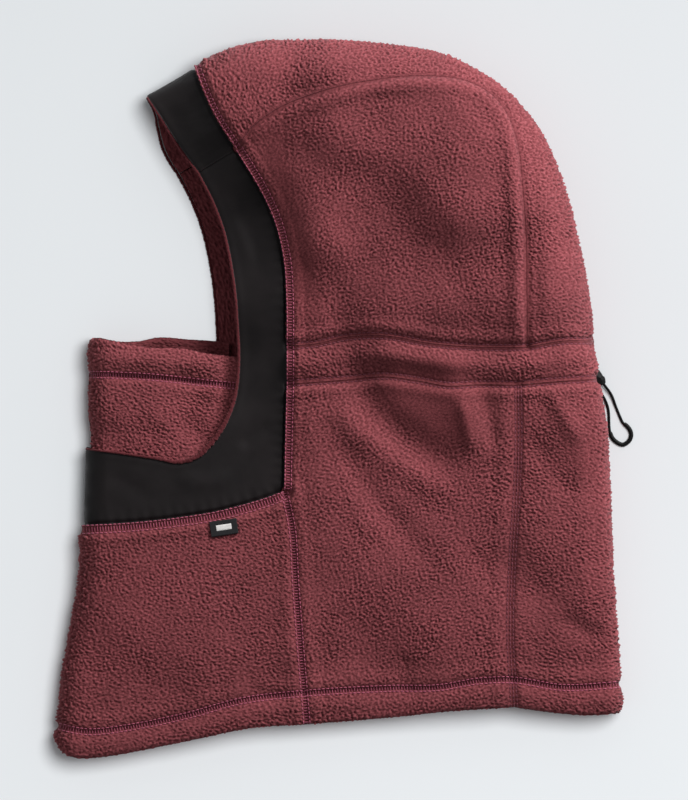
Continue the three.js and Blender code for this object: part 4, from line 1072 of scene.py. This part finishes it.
def tube_quads(count, sides):
    """Quads round a tube of rings whose points are numbered ring by ring."""
    i, j = np.meshgrid(np.arange(count - 1), np.arange(sides), indexing="ij")
    after = (j + 1) % sides
    corners = [i * sides + j, i * sides + after, (i + 1) * sides + after, (i + 1) * sides + j]
    return np.stack([corner.ravel() for corner in corners], -1)


def capped_tube(name, rings, material):
    """Closed body through rings of points, with a point in the middle of each end."""
    count, sides = rings.shape[:2]
    ring = np.arange(sides)
    last = (count - 1) * sides
    first_cap = np.stack([(ring + 1) % sides, ring, np.full(sides, count * sides)], -1)
    last_cap = np.stack([last + ring, last + (ring + 1) % sides, np.full(sides, count * sides + 1)], -1)
    points = np.vstack([rings.reshape(-1, 3), rings[0].mean(0), rings[-1].mean(0)])
    return new_mesh(name, points, [tube_quads(count, sides), first_cap, last_cap], material)


def braided(path, radius, sides=16, step=0.3, strands=4, turn=2.6, relief=0.05):
    """Rings of a braided cord: two sets of strands wind round it and cross."""
    count = int(path.length / step)
    points = path.at(np.linspace(0, 1, count))
    along = np.linspace(0, path.length, count)[:, None] * 2 * math.pi / turn
    angle = np.linspace(0, 2 * math.pi, sides, endpoint=False)[None, :]
    crossing = np.sin(strands * angle + along) * np.sin(strands * angle - along)
    return rings_along(points, radius * (1 + relief * crossing), sides)


def make_cord():
    loop = spline(*LOOP)
    cord = capped_tube("elastic_loop", braided(loop, CORD_RADIUS), CORD_LOOK)
    attach(cord, "balaclava", "cord", "drawcord_loop")
    pull = spline(*PULL_END).part(0.03, 0.97)
    steps = np.linspace(0, 1, SLEEVE_STEPS)
    swell = SLEEVE_RADIUS * (0.86 + 0.14 * smooth(0, 0.04, steps) * smooth(1, 0.96, steps))
    ribs = 1 + SLEEVE_RIB_HEIGHT * np.cos(steps * pull.length * 2 * math.pi / SLEEVE_RIB_PITCH)
    sleeve = capped_tube("pull_sleeve", rings_along(pull.at(steps), (swell * ribs)[:, None], SLEEVE_SIDES),
                         PLASTIC_LOOK)
    attach(sleeve, "balaclava", "hardware", "loop_sleeve")
    return loop


make_cord()
for node, look in {
    "cord_lock_barrel": PLASTIC_LOOK, "cord_lock_plunger": PLASTIC_LOOK, "cord_eyelet": PLASTIC_LOOK,
    "cord_lock_spring": STEEL_LOOK, "drawcord_left": CORD_LOOK, "drawcord_right": CORD_LOOK,
}.items():
    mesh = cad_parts[node].data
    mesh.materials.clear()
    mesh.materials.append(look)


# ---- Fleece panels -------------------------------------------------------------------------------------
def plan_grid(first, last, start, end, width, length, margins, cell=FINE, from_rim=True):
    across = rim_shares(width, cell) if from_rim else even_shares(width, cell)
    return patch(first, last, start, end, even_shares(length, cell), across, margins)


def near_edge(route, radius):
    """How far an edge is rounded off, 1 on the route and 0 at a radius from it."""
    gap, _ = beside(route, 2 * radius)
    rounded = 1 - np.sqrt(1 - np.clip(1 - np.abs(gap) / radius, 0, 1) ** 2)
    return lambda plan: RELIEF.read(plan, rounded)


HEM_EDGE = near_edge(hem_edge, EDGE_ROUND)
BESIDE_RIM = (0, SEAM_GAP, SEAM_GAP, SEAM_GAP)  # margins of a panel whose first row lies on the rim
RIM_AND_HEM = (0, SEAM_GAP, SEAM_GAP, 0)
crown_plan = plan_grid(rim_crown, crown_seam, trim_forehead, channel_top_back.back(), width=36,
                       length=rim_crown.length, margins=BESIDE_RIM)
hood_plan = plan_grid(crown_seam.part(0, CROWN_TURN), channel_top_side, trim_hood,
                      crown_seam.part(CROWN_TURN, 1), width=140, length=150, margins=(SEAM_GAP,) * 4,
                      from_rim=False)
neck_plan = plan_grid(channel_bottom_side, hem_side, front_edge, back_neck_seam, width=190, length=134,
                      margins=(SEAM_GAP, 0, SEAM_GAP, SEAM_GAP), from_rim=False)
front_plan = plan_grid(rim_front, front_neck_seam, chin_seam.back(), hem_front, width=125,
                       length=rim_front.length, margins=RIM_AND_HEM)
nape_plan = plan_grid(rim_back, back_neck_seam, channel_bottom_back.back(), hem_back.back(), width=55,
                      length=rim_back.length, margins=RIM_AND_HEM)
channel_plan = plan_grid(rim_channel, trim_channel, channel_top, channel_bottom, width=188,
                         length=rim_channel.length, margins=BESIDE_RIM)

HIDDEN_SKIP = 3  # cloth that lies out of sight keeps one grid point in this many
FLAT = np.zeros(RELIEF.values.shape)
EYELET_DENT = (eyelet_centre, -eyelet_out, 2.7, EYELET_DEPTH)  # centre, way in, radius and depth


def panel(name, node, layers, depths=FLEECE, look=FLEECE_LOOK, body="balaclava", slot="fleece", **settings):
    """A piece of cloth that stands for one CAD node."""
    return attach(cloth(name, layers, depths, look, **settings), body, slot, node)


def make_panels():
    panel("crown_fleece", "crown_panel", two_layers(crown_plan))
    for part, plan, edge in (("hood", hood_plan, None), ("neck", neck_plan, HEM_EDGE)):
        for side, name, skip in ((1, "left", 1), (-1, "right", HIDDEN_SKIP)):
            panel(f"{part}_fleece_{name}", f"{part}_side_{name}", one_layer(plan[::skip, ::skip], side),
                  edge=edge)
    panel("front_neck_fleece", "front_neck_panel", two_layers(front_plan), edge=HEM_EDGE)
    panel("back_neck_fleece", "back_neck_panel", two_layers(nape_plan), edge=HEM_EDGE)
    panel("channel_fleece", "cord_channel", two_layers(channel_plan), CHANNEL, dent=EYELET_DENT)
    panel("channel_lining", "channel_backing", two_layers(channel_plan[::HIDDEN_SKIP, ::HIDDEN_SKIP]),
          CHANNEL_BACKING, INNER_LOOK, upper=FLAT, lower=FLAT, loft=0.3)


make_panels()


# ---- Face trim -----------------------------------------------------------------------------------------
TRIM_BUTT = 0.04  # half the gap between the forehead's trim and the cheek's
FACING_SHOWS = 1.2  # how far the facing reaches past the trim into the face opening
TRIM_CELL = 1.0
FACING_CELL = 0.7
FOREHEAD_WIDTH = 33
FOREHEAD_RUN = 50
CHEEK_WIDTH = 40
CHIN_RUN = 125
CHEEK_RUN = 180
TRIM_FOLDS = [
    ([(-72, 128), (-58, 100), (-50, 72)], 0.7, 6),
    ([(-66, 122), (-52, 96), (-44, 66)], -0.5, 5),
    ([(-50, 60), (-47, 30), (-48, -4)], 0.6, 7),
    ([(-60, -30), (-48, -20), (-38, -14)], -0.6, 4),
    ([(-100, -46), (-80, -50), (-60, -46)], 0.7, 6),
    ([(-140, -42), (-118, -56), (-112, -66)], -0.5, 6),
    ([(-98, 184), (-88, 168), (-76, 150)], 0.6, 6),
]


def trim_relief():
    """Woven trim: puckered along its seams, each at a pitch of its own, and a little proud along its
    folded face edge."""
    relief = SWELL + fold_relief(TRIM_FOLDS)
    for route, pitch in ((trim_hood, 7.5), (trim_neck, 6.5), (chin_seam, 7), (trim_forehead, 6)):
        gap, share = beside(route, 16)
        relief -= 1.1 * bell(gap, 1.3)
        relief += 0.16 * np.sin(share * route.length * 2 * math.pi / pitch) * bell(gap, 6)
    for route in (face_cheek, face_forehead):
        gap, _ = beside(route, 12)
        relief += 0.15 * bell(np.abs(gap) - 2.2, 2.0)
    gap, _ = beside(cross_seam, 5)
    relief -= 0.3 * bell(gap, 0.6)
    return relief


TRIM_RELIEF = trim_relief()
LAID_TRIM = 0.5 * np.minimum(TRIM_RELIEF, 0)
FACE_EDGE = near_edge(joined(face_forehead, face_cheek), 0.9)


def cheek_shares(cell):
    chin = rim_shares(CHIN_RUN, cell)
    rise = even_shares(CHEEK_RUN, cell)[1:]
    return np.append(chin * TRIM_CORNER, TRIM_CORNER + rise * (1 - TRIM_CORNER))


def forehead_grid(inset, cell, butt):
    return patch(rim_forehead, cross_seam, face_forehead, trim_forehead, even_shares(FOREHEAD_WIDTH, cell),
                 rim_shares(FOREHEAD_RUN, cell), (0, butt, inset, SEAM_GAP))


def cheek_grid(inset, cell, butt):
    return patch(rim_chin, cross_seam, face_cheek.back(), cheek_outer, even_shares(CHEEK_WIDTH, cell),
                 cheek_shares(cell), (0, butt, inset, SEAM_GAP))


# Half width of the facing's folded edge along the face opening, from the forehead round to the chin.
LIP_WIDTHS = ((0, 0.5), (0.08, 0.8), (0.4, 0.8), (0.58, 0.9), (0.66, 1.1), (0.715, 1.6), (0.76, 1.5),
              (0.84, 0.8), (1, 0.5))
LIP_DEPTH = 1.1
LIP_FLATNESS = 0.55  # its height as a share of its width
LIP_OUT = 0.85  # how far its middle lies out from the face edge, in half widths
LIP_SIDES = 14
LIP_FUR = 0.5  # how much the pile varies its thickness
FAR_LIP = 0.5  # how much further out the far layer's edge reaches


def headings(route, shares, step):
    """The way that a route runs at each share, and the way to its left."""
    way = route.at(shares + step) - route.at(shares - step)
    way /= np.linalg.norm(way, axis=1, keepdims=True)
    return way, np.stack([-way[:, 1], way[:, 0]], -1)


def make_lip():
    """The facing's folded edge, which shows as a soft roll of fleece beside the trim."""
    route = joined(face_forehead, face_cheek)
    share = np.linspace(0.004, 0.997, 900)
    width = np.interp(share, *np.array(LIP_WIDTHS).T)
    _, left = headings(route, share, 0.003)
    for name, side, carry, reach in (("left", 1, lambda plan: plan, 0), ("right", -1, below, FAR_LIP)):
        plan = carry(route.at(share) - left * (LIP_OUT * width + reach)[:, None])
        path = lay(plan, float(side), np.full(share.shape, LIP_DEPTH))
        rings = rings_along(path, width[:, None], LIP_SIDES)
        middle = path[:, None]
        rings = middle + (rings - middle) * (0.75 + LIP_FUR * pile(rings))[..., None]
        rings[..., 2] = path[:, None, 2] + LIP_FLATNESS * (rings[..., 2] - path[:, None, 2])
        # The lip's tube carries no pile heights, so it is coloured all over in the fleece's painted crevice
        # shade.
        attach(capped_tube(f"face_edge_{name}", rings, INNER_LOOK), "balaclava", "fleece")


def make_trim():
    for name, grid in (("forehead", forehead_grid), ("cheek_and_chin", cheek_grid)):
        panel(f"{name}_band", f"{name}_trim", two_layers(grid(0, TRIM_CELL, TRIM_BUTT)), TRIM, TRIM_LOOK,
              slot="trim", upper=TRIM_RELIEF, lower=LAID_TRIM, loft=0, edge=FACE_EDGE)
        panel(f"{name}_backing", f"{name}_facing", two_layers(grid(-FACING_SHOWS, FACING_CELL, -TRIM_BUTT)),
              TRIM_FACING, INNER_LOOK, upper=SWELL, lower=FLAT, loft=1.3, furred="inside")


make_trim()
make_lip()


# ---- Turned hem ----------------------------------------------------------------------------------------
HEM_LOFT = 0.6
HEM_HALF_ROUND = 170
HEM_CELL = 1.4
HEM_ROWS = 15
HEM_MARGINS = (0.5, -2, 0, 0)  # clear of the hem's edge, and on past the stitching


def ring_slab(name, plan, side, depths, material, loft):
    """Closed band round the whole garment: rows run round it, columns across it."""
    outer = lay(plan, side, np.full(side.shape, float(depths[0])))
    inner = lay(plan, side, np.full(side.shape, float(depths[1])))
    curl = pile(inner)
    into = inner - outer
    into = into / np.linalg.norm(into, axis=-1, keepdims=True)
    inner = inner + into * (loft * (curl - INNER_PILE_ROOT))[..., None]
    rows, columns = side.shape
    count = rows * columns
    i = np.arange(rows)
    after = (i + 1) % rows
    edge = [np.stack([i * columns + j, after * columns + j, count + after * columns + j,
                      count + i * columns + j], -1) for j in (0, columns - 1)]
    faces = [grid_quads(0, rows, columns, closed=True),
             grid_quads(count, rows, columns, closed=True)[:, ::-1], edge[0], edge[1][:, ::-1]]
    points = np.vstack([outer.reshape(-1, 3), inner.reshape(-1, 3)])
    return new_mesh(name, points, faces, material, {"pile": np.tile(curl.ravel(), 2)})


def make_hem():
    half = rim_shares(HEM_HALF_ROUND, HEM_CELL)
    around = np.append(half / 2, 1 - half[-2::-1] / 2)
    band = patch(hem_edge, hem_stitch, spline(HEM_FRONT_RIM, HEM_FRONT_STITCH),
                 spline(HEM_BACK_RIM, HEM_BACK_STITCH), around, np.linspace(0, 1, HEM_ROWS),
                 HEM_MARGINS).swapaxes(0, 1)
    side = np.ones(band.shape[:2])
    side[0] = side[-1] = 0
    plan = np.concatenate([band, below(band[1:-1])[::-1]])
    side = np.concatenate([side, -np.ones(band[1:-1].shape[:2])])
    turn_up = ring_slab("hem_fleece_turned_up", plan, side, HEM_TURN_UP, FLEECE_LOOK, HEM_LOFT)
    ring = np.concatenate([plan, plan[:1]])
    cut_size(lay(ring, np.append(side, side[:1], 0), HEM_TURN_UP[0]))
    attach(turn_up, "balaclava", "fleece", "hem_turn_up")


make_hem()


# ---- Pull-down mask --------------------------------------------------------------------------------------
MASK_RUN = 100
MASK_EDGE_WIDTH = 21
MASK_PANEL_WIDTH = 80
MASK_LAP = 0.2  # from the mask's stitching to the cloth on each side of it


def mask_face(plan):
    """Depth of the mask's outer face: it goes deeper under the trim, at its foot and its inner end."""
    tuck = np.maximum(smooth(-8, -22, plan[..., 1]), smooth(-114, -94, plan[..., 0]))
    return MASK_DEPTH + MASK_TUCK * tuck


def mask_inside(plan):
    return mask_face(plan) + MASK_THICKNESS


def mask_puff():
    """The turned edge of the mask stands fuller than the panel under it."""
    gap, _ = beside(mask_stitch, 24)
    return MASK_RELIEF + 1.0 * bell(gap - 10, 6.5) - 1.2 * bell(gap, 1.6)


MASK_SKIN = mask_puff()
MASK_TOP_EDGE = near_edge(mask_top, 2.8)


def make_mask():
    edge_plan = patch(spline(MASK_RIM_TOP, MASK_RIM_STITCH), spline(MASK_END_TOP, MASK_END_STITCH),
                      mask_top, mask_stitch, even_shares(MASK_EDGE_WIDTH, FINE), rim_shares(MASK_RUN, FINE),
                      (0, 0, 0, MASK_LAP))
    panel("mask_edge_fleece", "mask_edge", two_layers(edge_plan, mask_below), (mask_face, mask_inside),
          body="mask_edge", upper=MASK_SKIN, lower=MASK_SKIN, edge=MASK_TOP_EDGE, furred="both")
    panel_plan = patch(spline(MASK_RIM_STITCH, MASK_RIM_FOOT), spline(MASK_END_STITCH, MASK_END_FOOT),
                       mask_stitch, mask_foot, even_shares(MASK_PANEL_WIDTH, FINE),
                       rim_shares(MASK_RUN, FINE), (0, 0, MASK_LAP, 0))
    mask = panel("mask_fleece", "mask_panel", two_layers(panel_plan, mask_below), (mask_face, mask_inside),
                 upper=MASK_SKIN, lower=FLAT)
    foot = mask_foot.at(0.5)
    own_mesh(mask)


make_mask()


# ---- Stitching -------------------------------------------------------------------------------------------
STITCH_T = np.array([-1, -0.62, 0, 0.62, 1])  # places along a stitch
STITCH_BODY = np.array([0.45, 0.9, 1, 0.9, 0.45])  # its thickness there
STITCH_ARCH = np.array([-0.55, 0.1, 0.3, 0.1, -0.55])  # how far it stands out of the cloth there
STITCH_SIDES = 6
STITCH_END_GAP = 1.5  # from a seam's end to its first stitch
ROW_PITCH = 2.6  # from one stitch to the next, in a row along the seam
ROW_REACH = 0.48  # half the length of such a stitch, as a share of that
ROW_THICKER = 1.3  # how much thicker it is than a stitch of a ladder
BED_CELL = 1.2
BED_END_GAP = 0.6
BED_SUNK = 0.25  # how deep in the cloth the bed's outer face lies
BED_THICKNESS = 0.7
BED_WIDTH = 0.96  # its width as a share of the ladder's


def stitch_places(route, pitch, offset):
    """Middles of the stitches of a row, and the ways along the seam and to its left at each."""
    count = max(2, int((route.length - 2 * STITCH_END_GAP) / pitch))
    shares = np.linspace(STITCH_END_GAP, route.length - STITCH_END_GAP, count) / route.length
    way, left = headings(route, shares, 0.004)
    return route.at(shares) + left * offset, way, left


def stitches(middles, halves, side, top, relief, radius, carry):
    """Rings of points for one row of stitches, as [stitch, place along it, point round it, axis]."""
    plan = middles[:, None] + halves[:, None] * STITCH_T[None, :, None]
    places = plan if side >= 0 else carry(plan)
    depth = (top(places) if callable(top) else top) - RELIEF.read(plan, relief)
    path = lay(places, float(side), depth - STITCH_ARCH)
    out = lay(places, float(side), depth - STITCH_ARCH - 1) - path
    way = np.gradient(path, axis=1)
    way /= np.linalg.norm(way, axis=-1, keepdims=True)
    across = np.cross(way, out)
    across /= np.linalg.norm(across, axis=-1, keepdims=True)
    angle = np.linspace(0, 2 * math.pi, STITCH_SIDES, endpoint=False)
    offset = (np.cos(angle)[:, None] * across[..., None, :] + np.sin(angle)[:, None] * out[..., None, :])
    return path[..., None, :] + offset * (radius * STITCH_BODY)[:, None, None]


def stitch_mesh(name, groups, material):
    """All the stitches of a seam as one object, each a closed body of its own."""
    rings = np.concatenate(groups)
    count, stations, sides = rings.shape[:3]
    size = stations * sides
    fan = np.arange(1, sides - 1)
    first_cap = np.stack([np.zeros_like(fan), fan + 1, fan], -1)
    last_cap = np.stack([np.zeros_like(fan), fan, fan + 1], -1) + (stations - 1) * sides
    start = (np.arange(count) * size)[:, None, None]
    faces = [(start + part[None]).reshape(-1, part.shape[1])
             for part in (tube_quads(stations, sides), first_cap, last_cap)]
    return new_mesh(name, rings.reshape(-1, 3), faces, material)


def bed(route, half_width, side, top, relief, carry, shift):
    """Flat band of thread that a ladder of stitches lies on, as outer and inner grids."""
    count = int(route.length / BED_CELL)
    shares = np.linspace(BED_END_GAP, route.length - BED_END_GAP, count) / route.length
    _, left = headings(route, shares, 0.003)
    offsets = shift + np.linspace(-half_width, half_width, 5)
    plan = route.at(shares)[:, None] + left[:, None] * offsets[None, :, None]
    places = plan if side >= 0 else carry(plan)
    depth = (top(places) if callable(top) else top) - RELIEF.read(plan, relief) + BED_SUNK
    return lay(places, float(side), depth), lay(places, float(side), depth + BED_THICKNESS)


def bed_mesh(name, pairs, material):
    """Closed slabs, as one object, each between an outer grid and an inner grid of the same shape."""
    points, faces, first = [], [], 0
    for outer, inner in pairs:
        rows, columns = outer.shape[:2]
        count = rows * columns
        fine = np.arange(count).reshape(rows, columns) + first
        under = fine + count
        faces += [grid_quads(first, rows, columns), grid_quads(first + count, rows, columns)[:, ::-1]]
        for upper, lower in ((fine[0], under[0]), (fine[:, -1], under[:, -1]),
                             (fine[-1][::-1], under[-1][::-1]), (fine[::-1, 0], under[::-1, 0])):
            faces.append(np.stack([upper[1:], upper[:-1], lower[:-1], lower[1:]], -1))
        points += [outer.reshape(-1, 3), inner.reshape(-1, 3)]
        first += 2 * count
    return new_mesh(name, np.vstack(points), faces, material)


def seam(name, nodes, routes, ladder=None, rows=(), pitch=1.65, radius=0.27, top=0.0,
         relief=(FOLDED, LAID), carry=below, body="balaclava", look=THREAD_LOOK):
    """Stitching of one seam on both layers. routes are curves with the offset of their stitching,
    ladder is the half width of the stitches across, and rows are offsets of the stitches along."""
    groups, beds = [], []
    for side, pressed in zip((1, -1), relief):
        for route, shift in routes:
            if ladder:
                middles, _, left = stitch_places(route, pitch, shift)
                groups.append(stitches(middles, left * ladder, side, top, pressed, radius, carry))
                beds.append(bed(route, ladder * BED_WIDTH, side, top, pressed, carry, shift))
            for offset in rows:
                middles, way, _ = stitch_places(route, ROW_PITCH, shift + offset)
                groups.append(stitches(middles, way * ROW_REACH * ROW_PITCH, side, top, pressed,
                                       radius * ROW_THICKER, carry))
    thread = stitch_mesh(f"{name}_stitches", groups, look)
    attach(thread, body, "thread", *nodes)
    if beds:
        attach(bed_mesh(f"{name}_thread_band", beds, BED_LOOK), body, "thread")


def make_seams():
    seam("front_seam", ("front_seam_left", "front_seam_right"),
         ((trim_back, FRONT_LADDER), (front_neck_seam, 0)), ladder=1.6, rows=(-1.9, 1.9))
    seam("forehead_seam", ("forehead_seam",), ((trim_forehead, FRONT_LADDER),), ladder=1.1,
         rows=(-1.3, 1.3))
    seam("chin_seam", ("chin_seam",), ((chin_seam, CHIN_LADDER),), ladder=2.0, rows=(-2.4, 2.4))
    seam("crown_seam", ("crown_seam_left", "crown_seam_right"), ((crown_seam, 0),), ladder=0.7, pitch=2.4,
         top=1.2)
    seam("back_seam", ("back_seam_left", "back_seam_right"), ((back_neck_seam, 0),), rows=BACK_ROWS,
         radius=0.18, look=BED_LOOK)
    seam("channel_top_seam", ("channel_top_seam",), ((channel_top, 0),), rows=(-1.5, 2.0), radius=0.2,
         look=BED_LOOK)
    seam("channel_bottom_seam", ("channel_bottom_seam",), ((channel_bottom, 0),), rows=(1.5, -2.0),
         radius=0.2, look=BED_LOOK)
    seam("hem_coverstitch", ("hem_coverstitch",), ((hem_stitch, 0),), ladder=1.5, rows=(-1.8, 1.8))
    seam("mask_coverstitch", ("mask_coverstitch",), ((mask_stitch, 0),), ladder=1.6, rows=(-1.9, 1.9),
         top=mask_face, relief=(MASK_SKIN, FLAT), carry=mask_below, body="mask_edge")


make_seams()


# ---- Flag label ------------------------------------------------------------------------------------------
LABEL_CORNER = np.array([-77.4, -73.2])
LABEL_TURN = math.radians(8.4)
LABEL_WIDTH = 17
LABEL_DROP = 9.6
LABEL_HALF = 0.5  # half the thickness of the folded tape
LABEL_CLEAR = 0.05  # from the CAD label's underside to the tape's
TAPE = 0.4  # thickness of the tape itself
TAPE_YARN = 0.9  # pitch of the tape's yarns
TAPE_RUN = 24  # points along each straight stretch of the tape
TAPE_START = 0.2  # from the seam to the tape's ends
TAPE_END = 0.9  # from the free end back to where the tape stops running straight
TAPE_BEND = 0.8  # from the free end back to the middle of the bend
BEND_REACH = 1.3  # how far the bend bulges, in half thicknesses
TAPE_STEPS = 60  # points across the tape
SELVEDGE = 0.3
BAR_ACROSS = (3.9, 13.1)
BAR_DOWN = (2.9, 6.3)
BAR_STEPS = (44, 14)  # points across and down the bar
BAR_RISE = 0.14
BAR_PROUD = 0.04  # how far the bar's edges stand out of the tape
BAR_SUNK = 0.15
BAR_YARN = 0.5
YARN_HEIGHT = 0.03


def label_place(across, down, level):
    """Points of the label: across its width, down from its seam and above its underside."""
    turn_x = np.array([math.cos(LABEL_TURN), math.sin(LABEL_TURN)])
    turn_y = np.array([math.sin(LABEL_TURN), -math.cos(LABEL_TURN)])
    across, down, level = np.broadcast_arrays(across, down, level)
    plan = LABEL_CORNER + across[..., None] * turn_x + down[..., None] * turn_y
    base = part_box("label_tab")[0].z / MM + LABEL_HALF + LABEL_CLEAR
    return np.concatenate([plan, (base + level)[..., None]], -1)


def tape_path(half):
    """Places down the label and levels over its middle, over the top, round the fold and back below."""
    bend = np.linspace(HALF_ROLL, -HALF_ROLL, 9)
    run = np.linspace(TAPE_START, LABEL_DROP - TAPE_END, TAPE_RUN)
    down = np.concatenate([run, LABEL_DROP - TAPE_BEND + BEND_REACH * half * np.cos(bend), run[::-1]])
    level = half * np.concatenate([np.ones(TAPE_RUN), np.sin(bend), -np.ones(TAPE_RUN)])
    return down[None, :], level[None, :]


def yarns(places, pitch):
    return np.sin(places * 2 * math.pi / pitch)


def make_label():
    """Folded tape: its two layers join in a round fold at the free end."""
    across = np.linspace(SELVEDGE, LABEL_WIDTH - SELVEDGE, TAPE_STEPS)[:, None]
    down, level = tape_path(LABEL_HALF)
    woven = YARN_HEIGHT * yarns(across, TAPE_YARN) * yarns(down, TAPE_YARN)
    outer = label_place(across, down, level + woven * np.sign(level))
    inner = label_place(across, *tape_path(LABEL_HALF - TAPE))
    tape = bed_mesh("flag_label", [(outer, inner)], LABEL_LOOK)
    attach(tape, "label", "label", "label_tab")
    columns, rows = BAR_STEPS
    u, v = np.meshgrid(np.linspace(*BAR_ACROSS, columns), np.linspace(*BAR_DOWN, rows), indexing="ij")
    rise = BAR_RISE * np.clip(1.6 * np.sin(np.linspace(0, math.pi, rows)), 0, 1)[None, :]
    top = label_place(u, v, LABEL_HALF + BAR_PROUD + rise + YARN_HEIGHT * yarns(u, BAR_YARN))
    bar = bed_mesh("label_bar", [(top, label_place(u, v, LABEL_HALF - BAR_SUNK))], PALE_LOOK)
    attach(bar, "label", "label")


make_label()
